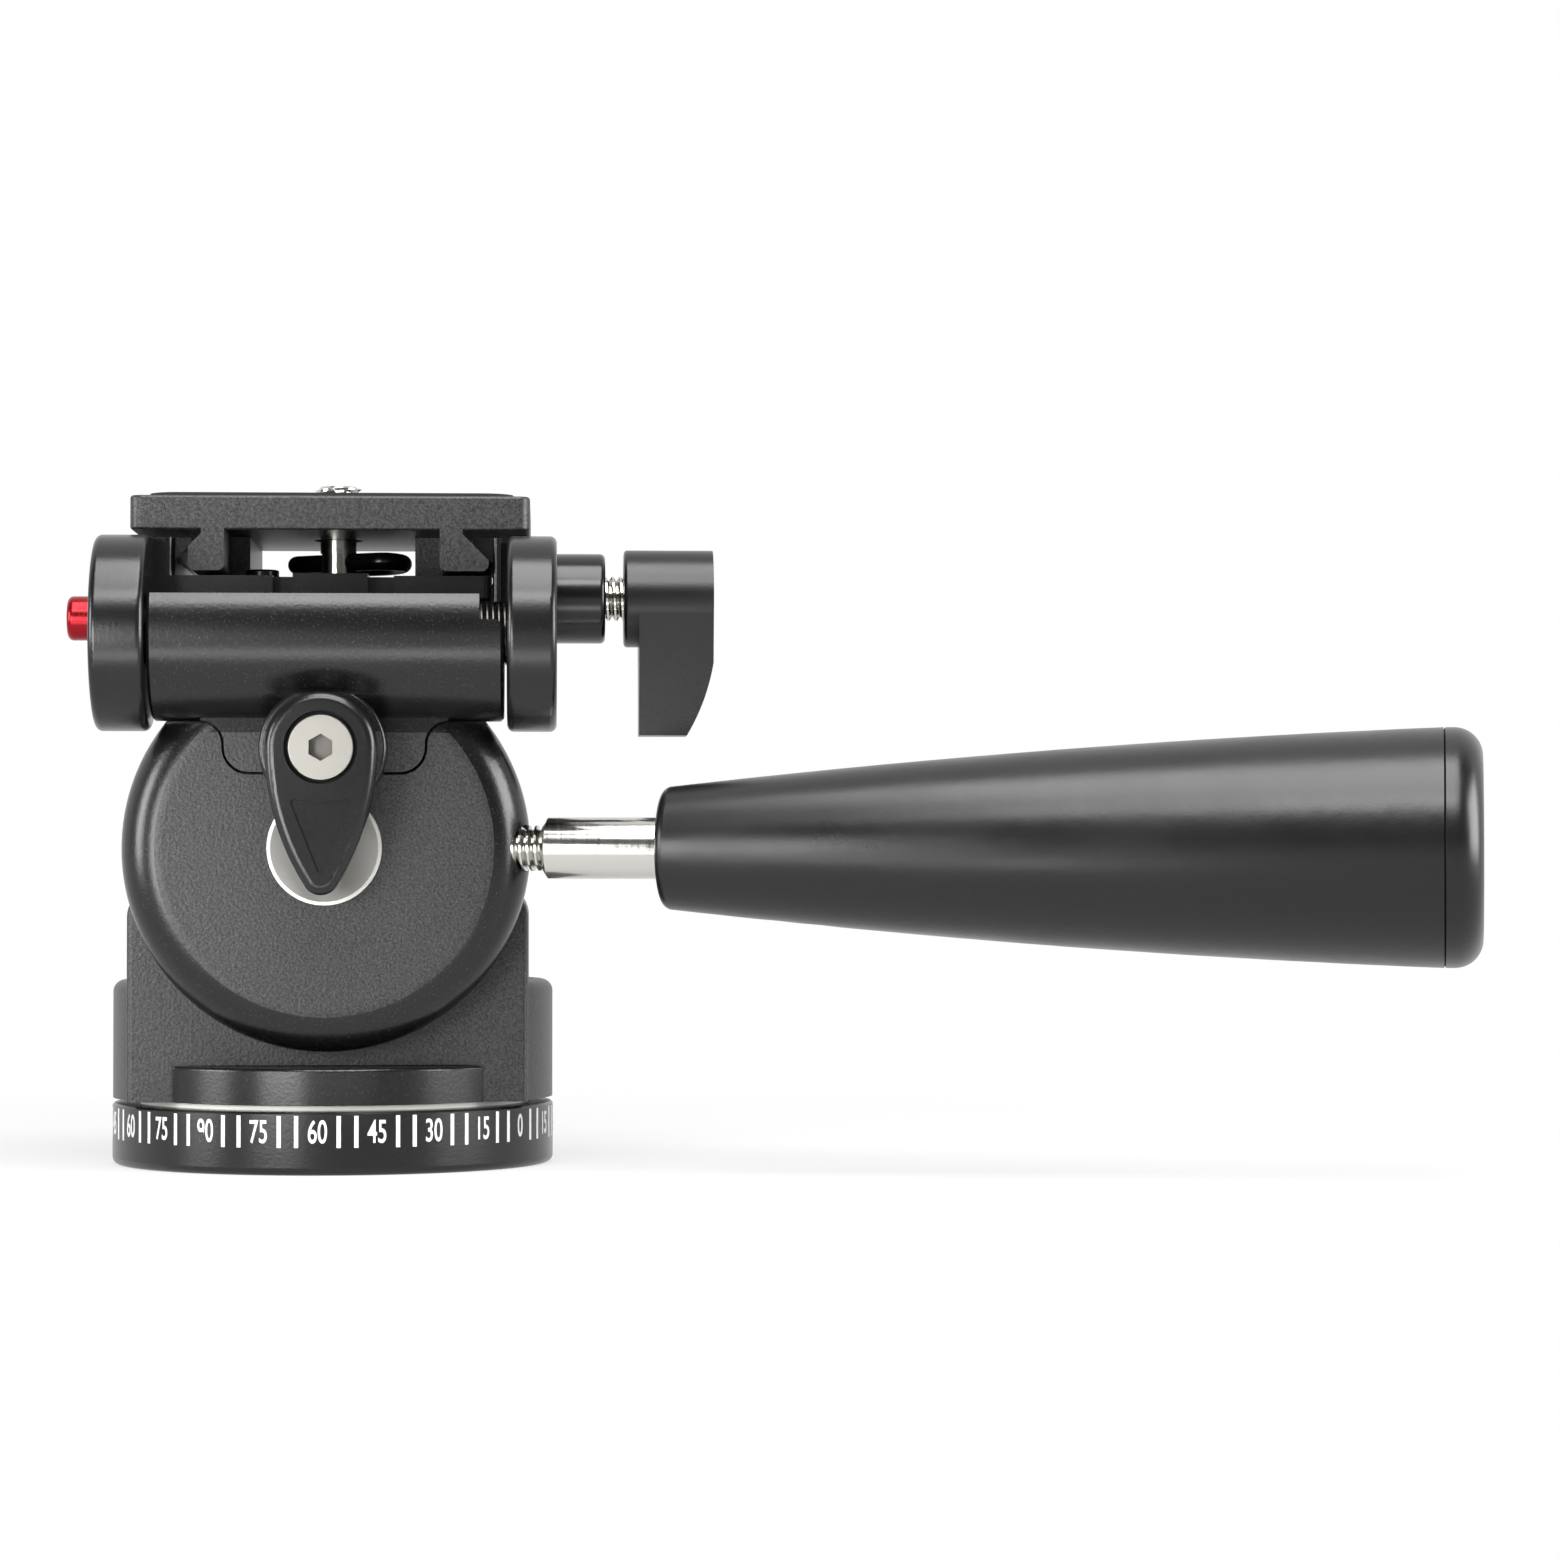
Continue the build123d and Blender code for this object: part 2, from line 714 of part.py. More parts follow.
def barrel_and_neck():
    barrel = bar_x(barrel_radius, barrel_left, barrel_right, barrel_depth, barrel_height)
    barrel = chamfer(barrel.edges().filter_by(GeomType.CIRCLE), barrel_edge)
    neck_low = tilt_height + max(hump_radius, friction_washer_outer) + neck_gap
    barrel += block(-notch_left, notch_left, neck_back, slit_back, neck_low, barrel_height)
    far = barrel_radius + overrun
    barrel -= block(barrel_left - overrun, barrel_right + overrun, barrel_depth - far, barrel_depth + far,
                    barrel_flat, barrel_height + far)
    barrel -= bar_y(hump_radius + hump_play, -block_depth, block_depth + hump_play, 0, tilt_height)
    notch = block(notch_left, barrel_right + overrun, barrel_depth - far, barrel_depth + far,
                  barrel_height + notch_rise, barrel_height + far)
    corner = block(barrel_right - notch_round, barrel_right + overrun, barrel_depth - far,
                   barrel_depth + far, barrel_height + notch_rise - notch_round, barrel_height + far)
    corner -= bar_y(notch_round, barrel_depth - far, barrel_depth + far, barrel_right - notch_round,
                    barrel_height + notch_rise - notch_round)
    return barrel - notch - corner


def make_tongue():
    low_part = block(-disc_radius, disc_radius, slit_back, boss_front, tongue_low - overrun,
                     barrel_height - side_axle_radius)
    tongue = front_slab(tongue_face(0), slit_back + slit_width, tongue_front) & low_part
    tongue -= block(-disc_radius - overrun, -tongue_half_width - tongue_fillet, 0, boss_front,
                    tongue_low, barrel_height)
    tongue -= block(tongue_half_width + tongue_fillet, disc_radius + overrun, 0, boss_front,
                    tongue_low, barrel_height)
    boss = bar_y(boss_radius, disc_front + boss_gap, boss_front, 0, lever_height)
    return tongue + fillet(front_edge(boss), boss_round)


def tilt_housing_hollows():
    head_back = disc_front + cap_proud - cap_thickness - axle_cover_gap - axle_head_height
    hollow = bar_y(axle_radius + running_play, hub_back - overrun, disc_front, 0, tilt_height)
    hollow += bar_y(cap_radius + cap_play, head_back - face_play, disc_front + overrun, 0, tilt_height)
    hollow += bar_x(side_axle_radius + running_play, barrel_left - overrun, barrel_right + overrun,
                    barrel_depth, barrel_height)
    hollow += bar_y(lever_screw_radius + running_play, disc_back - overrun, boss_front + overrun,
                    0, lever_height)
    hollow += handle_bar(stud_radius + running_play, handle_station(stud_inner - brake_back_gap), overrun)
    return hollow + handle_bar(brake_radius + running_play, handle_station(axle_radius),
                               handle_station(stud_inner))


def make_tilt_cap():
    """The cap has a thin bright rim round a shallow polished dish."""
    front = disc_front + cap_proud
    cap = bar_y(cap_radius, front - cap_thickness, front, 0, tilt_height)
    dish_radius = cap_radius - cap_rim_width
    ball_radius = (dish_radius ** 2 + cap_dish_depth ** 2) / (2 * cap_dish_depth)
    return cap - Pos(0, -front - ball_radius + cap_dish_depth, tilt_height) * Sphere(ball_radius)


def make_brake_plunger():
    inner = axle_radius + brake_gap
    end = handle_station(stud_inner) - brake_back_gap
    plunger = handle_bar(brake_radius, handle_station(axle_radius) + brake_gap, end)
    return plunger & block(inner, disc_radius, disc_back, disc_front, tilt_height - brake_radius,
                           tilt_height + brake_radius)


def make_handle_rod():
    rod = handle_bar(stud_radius, handle_station(stud_inner), stud_end)
    shank = bar_x(rod_radius, stud_end, rod_neck_start, 0, 0)
    shank = chamfer(shank.edges().filter_by(GeomType.CIRCLE), rod_chamfer)
    return rod + handle_place(shank) + handle_bar(stud_radius, rod_neck_start - rod_chamfer, rod_end)


def make_handle_grip():
    inner = grip_start + grip_start_round
    middle = (grip_start + grip_end) / 2
    side = ThreePointArc((inner, grip_start_radius), (middle, grip_middle_radius),
                         (grip_end, grip_end_radius))
    slant = math.sqrt(2) / 2
    rim = ThreePointArc((grip_start, grip_start_radius - grip_start_round),
                        (inner - grip_start_round * slant,
                         grip_start_radius - grip_start_round + grip_start_round * slant),
                        (inner, grip_start_radius))
    ends = Polyline((grip_end, grip_end_radius), (grip_end, 0), (grip_start, 0),
                    (grip_start, grip_start_radius - grip_start_round))
    grip = revolve(make_face([side, rim, ends]), Axis.X)
    grip -= bar_x(rod_radius + thread_play, grip_start - overrun, grip_bore_end + overrun, 0, 0)
    return handle_place(grip - bar_x(grip_pocket_radius, grip_bore_end, grip_end + overrun, 0, 0))


def make_grip_washer():
    washer = handle_bar(grip_washer_radius, grip_bore_end, grip_bore_end + grip_washer_height)
    return washer - handle_bar(stud_radius + thread_play, grip_bore_end - overrun, rod_end)


def make_grip_nut():
    low = grip_bore_end + grip_washer_height
    nut = side_slab(RegularPolygon(grip_nut_radius, hexagon_sides), low, low + grip_nut_height)
    return handle_place(nut) - handle_bar(stud_radius + thread_play, low - overrun, rod_end)


def make_handle_end_cap():
    """A flat cap with a fine groove at its seam and a wide round at its end."""
    end = grip_end + end_cap_length
    profile = outline([(grip_end, 0), (grip_end, grip_end_radius - end_cap_groove),
                       (grip_end + end_cap_groove, grip_end_radius), (end, grip_end_radius),
                       (end, 0)])
    profile = round_corners(profile, end_cap_round,
                            lambda corner: corner.X > end - overrun and corner.Y > overrun)
    cap = revolve(profile, Axis.X)
    spigot = bar_x(grip_pocket_radius - cap_play, grip_end - end_cap_spigot, grip_end, 0, 0)
    spigot -= bar_x(grip_pocket_radius - end_cap_wall, grip_end - end_cap_spigot - overrun, grip_end, 0, 0)
    return handle_place(cap + spigot)


def make_lever_washer():
    washer = bar_y(lever_washer_radius, boss_front, boss_front + lever_washer_height, 0, lever_height)
    return washer - bar_y(lever_screw_radius + running_play, disc_front, lever_front, 0, lever_height)


def lever_face():
    """A teardrop: a round head whose sides bow in to a small round tip."""
    point = (0, -lever_point_drop)
    head = ThreePointArc((-lever_head_radius, 0), (0, lever_head_radius), (lever_head_radius, 0))
    right = TangentArc((lever_head_radius, 0), point, tangent=(0, -1))
    left = TangentArc((-lever_head_radius, 0), point, tangent=(0, -1))
    face = make_face([head, right, left])
    tip = face.vertices().sort_by(Axis.Y)[0]
    return Pos(0, lever_height) * fillet(tip, lever_tip_round)


def lever_recess_face():
    top = -recess_top_drop
    dip = ThreePointArc((-recess_half_width, top), (0, top - recess_dip), (recess_half_width, top))
    sides = Polyline((recess_half_width, top), (0, -recess_tip_drop), (-recess_half_width, top))
    face = make_face([dip, sides])
    return Pos(0, lever_height) * fillet(face.vertices(), recess_corner)


def make_side_lock_lever():
    lever = front_slab(lever_face(), lever_back, lever_front)
    rims = lever.edges().group_by(Axis.Y)
    lever = fillet(rims[0], lever_round)
    lever -= front_slab(lever_recess_face(), lever_front - recess_depth, lever_front + overrun)
    lever -= bar_y(lever_screw_radius + thread_play, lever_back - overrun, lever_front, 0, lever_height)
    head_back = lever_front - lever_screw_sunk - lever_screw_head_height
    return lever - bar_y(lever_bore_radius, head_back, lever_front + overrun, 0, lever_height)


def make_lever_screw():
    head_front = lever_front - lever_screw_sunk
    head_back = head_front - lever_screw_head_height
    screw = bar_y(lever_screw_head_radius, head_back, head_front, 0, lever_height)
    screw = fillet(front_edge(screw), lever_screw_round)
    screw += bar_y(lever_screw_radius, disc_back + face_play, head_back, 0, lever_height)
    socket = front_slab(Pos(0, lever_height) * Rot(0, 0, right_angle) * hexagon(hex_socket),
                        head_front - hex_socket_depth, head_front + overrun)
    return screw - socket


def make_side_tilt_axle():
    start = left_ear_outer + side_axle_head_sunk
    head_end = start + side_axle_head_height
    axle = bar_x(side_axle_radius, head_end, right_ear_outer - face_play, barrel_depth, barrel_height)
    head = bar_x(side_axle_head_radius, start, head_end, barrel_depth, barrel_height)
    axle += fillet(head.edges().filter_by(GeomType.CIRCLE).sort_by(Axis.X)[0], ear_round / 2)
    socket = extrude(Plane.YZ.offset(start - overrun) * Pos(-barrel_depth, barrel_height)
                     * hexagon(side_axle_hex), amount=side_axle_hex_depth + overrun)
    return axle - socket


def arm(left, right):
    """One arm: a round ear on the side-tilt axis that runs back as a bar."""
    ear = bar_x(ear_radius, left, right, barrel_depth, barrel_height)
    ear = fillet(ear.edges().filter_by(GeomType.CIRCLE), ear_round)
    bar = block(left, right, clamp_back, barrel_depth, arm_low, arm_top)
    bar = fillet(bar.edges().filter_by(Axis.Y), ear_round)
    return ear + bar


def clamp_floor():
    low = barrel_height + floor_low_rise
    floor = block(left_ear_inner - overrun, right_ear_inner + overrun, clamp_back, floor_front, low,
                  channel_low)
    top = block(left_ear_inner - overrun, base_right, clamp_back, overhang_front,
                overhang_low, floor_top)
    top = fillet(top.edges().filter_by(Axis.Z).sort_by(Axis.X)[-2:], base_corner)
    floor += top
    floor += block(left_ear_inner - overrun, base_right, clamp_back, floor_front, low, floor_top)
    floor += block(fixed_jaw_inner - overrun, base_right, clamp_back, stop_ridge_front, low,
                   floor_top + stop_ridge_rise)
    pad = block(centre_pad_left, centre_pad_right, overhang_front - centre_pad_length, overhang_front,
                overhang_low, floor_top + centre_pad_rise)
    floor += pad
    for left, right in [(centre_pad_left - slot_width, centre_pad_left),
                        (centre_pad_right, centre_pad_right + right_slot_width)]:
        floor -= block(left, right, overhang_front - slot_length, overhang_front + overrun,
                       barrel_height, floor_top + overrun)
    return floor


def jaw_lip(wall, tip, side):
    """The slanted lip of a jaw; side is -1 on the left and 1 on the right."""
    outer = right_foot_outer if side > 0 else left_foot_outer
    apex = right_foot_apex if side > 0 else left_foot_apex
    apex_height = plate_low - foot_groove
    line = side * apex + apex_height + lip_play * math.sqrt(2)
    top = jaw_top
    return outline([(wall, line - side * wall), (tip, line - side * tip), (tip, top), (wall, top)])


def make_clamp_base():
    base = arm(left_ear_outer, left_ear_inner) + arm(right_ear_inner, right_ear_outer) + clamp_floor()
    wall = block(left_ear_inner - overrun, fixed_jaw_inner, clamp_back, jaw_front,
                 floor_top - overrun, jaw_top)
    corner = wall.edges().filter_by(Axis.Z).sort_by(Axis.X)[-2:].sort_by(Axis.Y)[0]
    base += fillet(corner, jaw_corner)
    base += front_slab(jaw_lip(fixed_jaw_inner, left_lip_tip, -1), stop_ridge_front, jaw_front - jaw_corner)
    base -= block(right_ear_inner - overrun, jaw_pocket_inner, moving_jaw_back - face_play, floor_front,
                  channel_low, arm_top + overrun)
    return base - clamp_base_hollows()


def clamp_base_hollows():
    hollow = bar_x(side_axle_radius + thread_play, left_ear_outer - overrun, right_ear_outer + overrun,
                   barrel_depth, barrel_height)
    head_seat = left_ear_outer + side_axle_head_sunk + side_axle_head_height + thread_play
    hollow += bar_x(side_axle_head_radius + thread_play, left_ear_outer - overrun, head_seat,
                    barrel_depth, barrel_height)
    foot_low_end = channel_low - jaw_foot_drop + face_play
    foot_back = screw_depth - jaw_foot_half_length - face_play
    hollow += block(base_right, jaw_pocket_inner, foot_back, floor_front + overrun, foot_low_end - face_play,
                    channel_low + overrun)
    hollow += bar_x(boss_stem_radius + thread_play, jaw_pocket_inner - overrun, right_ear_outer + overrun,
                    screw_depth, clamp_screw_height)
    seat_end = left_ear_outer + button_seat + button_travel
    hollow += bar_x(button_radius + running_play, left_ear_outer - overrun, seat_end, button_depth,
                    button_height)
    stem_reach = catch_x + catch_foot_radius + overrun + button_travel + face_play
    hollow += bar_x(button_stem_radius + running_play, left_ear_outer, stem_reach, button_depth,
                    button_height)
    hollow += bar_z(catch_foot_radius + running_play, button_height, floor_top, catch_x, button_depth)
    shoulder = catch_top - catch_length - catch_drop - face_play
    return hollow + bar_z(catch_radius + running_play, shoulder, floor_top + overrun, catch_x,
                          button_depth)


def make_screw_boss():
    boss = bar_x(screw_boss_radius, right_ear_outer, screw_boss_end, screw_depth, clamp_screw_height)
    boss = fillet(boss.edges().filter_by(GeomType.CIRCLE).sort_by(Axis.X)[-1], screw_boss_round)
    boss += bar_x(boss_stem_radius, jaw_pocket_inner + face_play, right_ear_outer, screw_depth,
                  clamp_screw_height)
    return boss - bar_x(clamp_thread_radius + running_play, jaw_pocket_inner - overrun,
                        screw_boss_end + overrun, screw_depth, clamp_screw_height)


def make_moving_jaw():
    foot_base = channel_low - jaw_foot_drop + face_play
    jaw = block(moving_jaw_inner, moving_jaw_front_outer, moving_jaw_back, jaw_front,
                channel_low + face_play, jaw_top)
    corner = jaw.edges().filter_by(Axis.Z).sort_by(Axis.X)[:2].sort_by(Axis.Y)[0]
    jaw = fillet(corner, jaw_corner / 2)
    jaw += block(moving_jaw_inner, moving_jaw_outer, moving_jaw_back, floor_front - jaw_corner,
                 channel_low + face_play, jaw_top)
    foot_back = screw_depth - jaw_foot_half_length
    jaw += block(moving_jaw_inner, moving_jaw_outer, foot_back, floor_front - face_play,
                 foot_base, channel_low + overrun)
    jaw += front_slab(jaw_lip(moving_jaw_inner, right_lip_tip, 1), moving_jaw_back, jaw_front - jaw_corner)
    jaw -= bar_x(screw_tip_radius + running_play, screw_tip_end - face_play, moving_jaw_outer + overrun,
                 screw_depth, clamp_screw_height)
    clip_end = screw_tip_end + clip_thickness + face_play
    return jaw - bar_x(clip_radius + running_play, screw_tip_end - face_play, clip_end, screw_depth,
                       clamp_screw_height)


def make_screw_clip():
    clip = bar_x(clip_radius, screw_tip_end, screw_tip_end + clip_thickness, screw_depth,
                 clamp_screw_height)
    return clip - bar_x(screw_tip_radius / 2 + thread_play, screw_tip_end - overrun,
                        moving_jaw_outer, screw_depth, clamp_screw_height)


def make_clamp_screw():
    tip_start = screw_tip_end + screw_tip_length
    screw = bar_x(clamp_thread_radius, tip_start, knob_start + knob_bore_depth, screw_depth,
                  clamp_screw_height)
    clip_end = screw_tip_end + clip_thickness
    screw += bar_x(screw_tip_radius, clip_end, tip_start, screw_depth, clamp_screw_height)
    return screw + bar_x(screw_tip_radius / 2, screw_tip_end, clip_end, screw_depth, clamp_screw_height)


def make_clamp_knob():
    """A hub with one wing that hangs down and thins towards its tip."""
    hub = bar_x(knob_hub_radius, knob_start, knob_wing_start + overrun, screw_depth, clamp_screw_height)
    hub = fillet(hub.edges().filter_by(GeomType.CIRCLE).sort_by(Axis.X)[0], knob_round / 2)
    round_top = bar_x(knob_hub_radius, knob_wing_start, knob_end, screw_depth, clamp_screw_height)
    taper = outline([(-screw_depth - knob_hub_radius, clamp_screw_height),
                     (-screw_depth - knob_tip_half, clamp_screw_height - knob_reach),
                     (-screw_depth + knob_tip_half, clamp_screw_height - knob_reach),
                     (-screw_depth + knob_hub_radius, clamp_screw_height)])
    wing = round_top + side_slab(taper, knob_wing_start, knob_end)
    top = clamp_screw_height + knob_hub_radius + overrun
    middle = knob_wing_start + knob_middle_length - overrun
    curve = ThreePointArc((knob_end, clamp_screw_height),
                          (middle, clamp_screw_height - knob_middle_reach),
                          (knob_wing_start + knob_tip_length, clamp_screw_height - knob_reach))
    frame = Polyline((knob_wing_start + knob_tip_length, clamp_screw_height - knob_reach),
                     (knob_wing_start, clamp_screw_height - knob_reach), (knob_wing_start, top),
                     (knob_end, top), (knob_end, clamp_screw_height))
    side = make_face([curve, frame])
    wing &= front_slab(side, screw_depth - knob_hub_radius, screw_depth + knob_hub_radius)
    knob = hub + wing
    return knob - bar_x(clamp_thread_radius + thread_play, knob_start - overrun,
                        knob_start + knob_bore_depth + face_play, screw_depth, clamp_screw_height)


def above_wedge(gap):
    """The space above the button's slanted stem, which lets the catch drop as the button goes in."""
    slope = catch_drop / button_travel
    start = catch_x - catch_foot_radius - button_travel - gap
    end = catch_x + catch_foot_radius + overrun
    low = button_height - button_stem_radius + wedge_floor + gap
    high = button_height + button_stem_radius + catch_length + overrun
    face = outline([(start, low), (end, low + slope * (end - start)), (end, high), (start, high)])
    return front_slab(face, button_depth - catch_radius, button_depth + catch_radius)


def make_release_button():
    start = left_ear_outer - button_proud
    seat = left_ear_outer + button_seat
    button = bar_x(button_radius, start, seat, button_depth, button_height)
    button = fillet(button.edges().filter_by(GeomType.CIRCLE).sort_by(Axis.X)[0], button_round)
    end = catch_x + catch_foot_radius + overrun
    return button + bar_x(button_stem_radius, seat, end, button_depth, button_height) - above_wedge(0)


def make_button_spring():
    """The return spring sits hidden behind the button, as a plain sleeve of its own size."""
    start = left_ear_outer + button_seat + face_play
    end = left_ear_outer + button_seat + button_travel
    spring = bar_x(button_spring_radius, start, end, button_depth, button_height)
    return spring - bar_x(button_stem_radius + face_play, start - overrun, end + overrun, button_depth,
                          button_height)


def make_safety_catch():
    """A pin whose slanted foot rides on the button's stem."""
    catch = bar_z(catch_radius, catch_top - catch_length, catch_top, catch_x, button_depth)
    catch = fillet(catch.edges().filter_by(GeomType.CIRCLE).sort_by(Axis.Z)[-1], catch_round)
    foot = bar_z(catch_foot_radius, button_height - button_stem_radius, catch_top - catch_length, catch_x,
                 button_depth)
    return catch + (foot & above_wedge(running_play))


def make_qr_plate():
    plate = block(plate_left, plate_right, -plate_half_length, plate_half_length, plate_low, plate_top)
    plate = fillet(plate.edges().filter_by(Axis.Z), plate_corner)
    plate = fillet(plate.faces().sort_by(Axis.Z)[-1].edges(), plate_edge)
    plate = fillet(plate.faces().sort_by(Axis.Z)[0].edges(), plate_edge)
    plate += plate_foot(left_foot_inner, left_foot_outer, left_foot_apex)
    plate += plate_foot(right_foot_inner, right_foot_outer, right_foot_apex)
    for left, right in [(left_foot_inner, left_lug_inner), (right_lug_inner, right_foot_inner)]:
        plate += block(left, right, -plate_half_length, lug_front, foot_low, plate_low + plate_edge)
    return plate - bar_z(camera_thread_radius + face_play, plate_low - overrun, pad_top, screw_x)


def plate_foot(inner, outer, apex):
    """One dovetail foot: its outer side slants in to a groove under the plate."""
    apex_height = plate_low - foot_groove
    slant_low = apex_height - abs(outer - apex)
    face = outline([(inner, plate_low + plate_edge), (inner, foot_low), (outer, foot_low),
                    (outer, slant_low), (apex, apex_height), (apex, plate_low + plate_edge)])
    corner_round = min(foot_corner, slant_low - foot_low - running_play)
    face = round_corners(face, corner_round, lambda corner: corner.Y < foot_low + running_play)
    return front_slab(face, -plate_half_length, plate_half_length)


def make_plate_pad():
    pad = block(plate_left + pad_inset, plate_right - pad_inset, -plate_half_length + pad_inset,
                plate_half_length - pad_inset, plate_top, pad_top)
    pad = fillet(pad.edges().filter_by(Axis.Z), pad_corner)
    return pad - bar_z(pad_hole_radius, plate_top - overrun, pad_top + overrun, screw_x)


def make_camera_screw():
    tip = pad_top + camera_screw_top
    neck_low = plate_low - camera_hub_drop
    screw = bar_z(camera_thread_radius, plate_top + face_play, tip, screw_x)
    screw = chamfer(screw.edges().filter_by(GeomType.CIRCLE).sort_by(Axis.Z)[-1], camera_tip_chamfer)
    screw += bar_z(camera_neck_radius, neck_low, plate_top + face_play, screw_x)
    hub_low = ring_hinge_height - ring_wire_radius - ring_hole_play - camera_hub_wall
    screw += bar_z(camera_hub_radius, hub_low, neck_low, screw_x)
    hole = bar_x(ring_wire_radius + ring_hole_play, -camera_hub_radius - overrun,
                 camera_hub_radius + overrun, 0, 0)
    return screw - ring_place(hole)


def ring_place(solid):
    """Takes a solid drawn at the folding ring's hinge, with the hinge along X, to its place."""
    return Pos(screw_x, 0, ring_hinge_height) * Rot(0, 0, ring_turn) * solid


def ring_bend(radius, x, y, start, sweep_angle):
    """A bent length of the ring's wire, round a centre in the ring's own plane."""
    section = Plane(origin=(radius, 0, 0), z_dir=(0, 1, 0)) * Circle(ring_wire_radius)
    return Pos(x, y, 0) * Rot(0, 0, start) * revolve(section, Axis.Z, sweep_angle)


def ring_rod(length, x, y, turn):
    """A straight length of the ring's wire that starts at a point in the ring's plane."""
    return Pos(x, y, 0) * Rot(0, 0, turn) * bar_x(ring_wire_radius, 0, length, 0, 0)


def make_d_ring():
    half = ring_half_width
    corner = ring_corner
    leg = ring_leg - corner
    ring = ring_rod(2 * (half - corner), corner - half, 0, 0)
    ring += ring_bend(corner, half - corner, corner, -right_angle, right_angle)
    ring += ring_rod(leg, half, corner, right_angle)
    ring += ring_bend(half, 0, ring_leg, 0, 2 * right_angle)
    ring += ring_rod(leg, -half, corner, right_angle)
    ring += ring_bend(corner, corner - half, corner, 2 * right_angle, right_angle)
    return ring_place(ring)


pieces = {
    "base_ring": make_base_ring,
    "tripod_bushing": make_tripod_bushing,
    "pan_spindle": make_pan_spindle,
    "spindle_screws": make_base_screws,
    "pan_friction_washer": make_pan_washer,
    "spindle_thrust_washer": make_thrust_washer,
    "spindle_nut": make_spindle_nut,
    "pan_body": make_pan_body,
    "pan_lock_shoe": make_pan_lock_shoe,
    "pan_lock_screw": make_pan_lock_screw,
    "pan_lock_knob": make_pan_lock_knob,
    "tilt_axle": make_tilt_axle,
    "tilt_axle_washer": make_rear_washer,
    "tilt_axle_nut": make_rear_nut,
    "rear_cover": make_rear_cover,
    "tilt_friction_washer": make_tilt_friction_washer,
    "tilt_housing": make_tilt_housing,
    "tilt_axle_cap": make_tilt_cap,
    "tilt_brake_plunger": make_brake_plunger,
    "handle_rod": make_handle_rod,
    "handle_grip": make_handle_grip,
    "grip_washer": make_grip_washer,
    "grip_nut": make_grip_nut,
    "handle_end_cap": make_handle_end_cap,
    "side_lock_washer": make_lever_washer,
    "side_lock_lever": make_side_lock_lever,
    "side_lock_screw": make_lever_screw,
    "side_tilt_axle": make_side_tilt_axle,
    "clamp_base": make_clamp_base,
    "clamp_screw_boss": make_screw_boss,
    "moving_jaw": make_moving_jaw,
    "clamp_screw": make_clamp_screw,
    "clamp_screw_clip": make_screw_clip,
    "clamp_knob": make_clamp_knob,
    "release_button": make_release_button,
    "button_spring": make_button_spring,
    "safety_catch": make_safety_catch,
    "quick_release_plate": make_qr_plate,
    "plate_pad": make_plate_pad,
    "camera_screw": make_camera_screw,
    "camera_screw_ring": make_d_ring,
}

for name, make in pieces.items():
    export_step(make(), f"parts/{name}.step")
    print(name)
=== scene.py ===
# %% [markdown]
# # A three-way pan head in black metal
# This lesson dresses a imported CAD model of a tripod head. The CAD model brings the exact solids, and
# Blender adds what makes them look real: the grain of blasted metal, cut threads, the printed scale
# and studio light. The frame is loaded first, because every new piece is placed by it.

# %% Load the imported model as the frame
import math

import bmesh
import bpy
from mathutils import Matrix, Vector


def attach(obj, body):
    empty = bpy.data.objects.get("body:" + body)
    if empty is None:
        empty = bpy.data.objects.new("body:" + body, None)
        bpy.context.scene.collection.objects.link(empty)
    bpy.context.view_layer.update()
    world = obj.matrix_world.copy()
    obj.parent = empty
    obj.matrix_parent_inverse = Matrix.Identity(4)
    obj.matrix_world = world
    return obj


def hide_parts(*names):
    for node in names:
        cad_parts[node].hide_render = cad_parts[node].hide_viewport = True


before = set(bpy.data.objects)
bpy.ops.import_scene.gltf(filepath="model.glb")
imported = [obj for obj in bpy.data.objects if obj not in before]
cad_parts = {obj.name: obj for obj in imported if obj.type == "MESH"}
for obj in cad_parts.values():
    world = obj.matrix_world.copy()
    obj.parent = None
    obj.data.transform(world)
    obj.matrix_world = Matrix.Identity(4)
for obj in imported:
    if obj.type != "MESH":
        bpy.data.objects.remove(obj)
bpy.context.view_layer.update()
MM = 0.001

# %% [markdown]
# ## The camera
# The photograph was taken from the front with a long lens, a little lower than the middle of the head.
# The place and the focal length were worked out from the curve of the base ring and the spacing of its
# numbers. The camera is turned slightly instead of shifted, so that other views stay centred.

# %% Place the camera
photo_pixels = 1560
focal_pixels = 4470
sensor_width = 36
camera_place = Vector((28.3, -606, 39.2)) * MM
turn_right = 3.02
turn_up = 1.16

camera_data = bpy.data.cameras.new("photo_camera")
camera_data.sensor_width = sensor_width
camera_data.lens = sensor_width * focal_pixels / photo_pixels
camera = bpy.data.objects.new("photo_camera", camera_data)
camera.location = camera_place
camera.rotation_euler = (math.radians(90 + turn_up), 0, math.radians(-turn_right))
bpy.context.scene.collection.objects.link(camera)
bpy.context.scene.camera = camera
print("lens", round(camera_data.lens, 1), "mm")

# %% [markdown]
# ## Colours and a helper for nodes
# Colours are written as hex values, as a paint program shows them, and turned to the linear values
# that Blender computes with. One small function adds a node, sets it and links it.

# %% Colour and node helpers
def linear(hex_colour):
    """Turns a hex colour to linear red, green, blue and a full alpha."""
    parts = [int(hex_colour[i:i + 2], 16) / 255 for i in (1, 3, 5)]
    return [c / 12.92 if c <= 0.04045 else ((c + 0.055) / 1.055) ** 2.4 for c in parts] + [1]


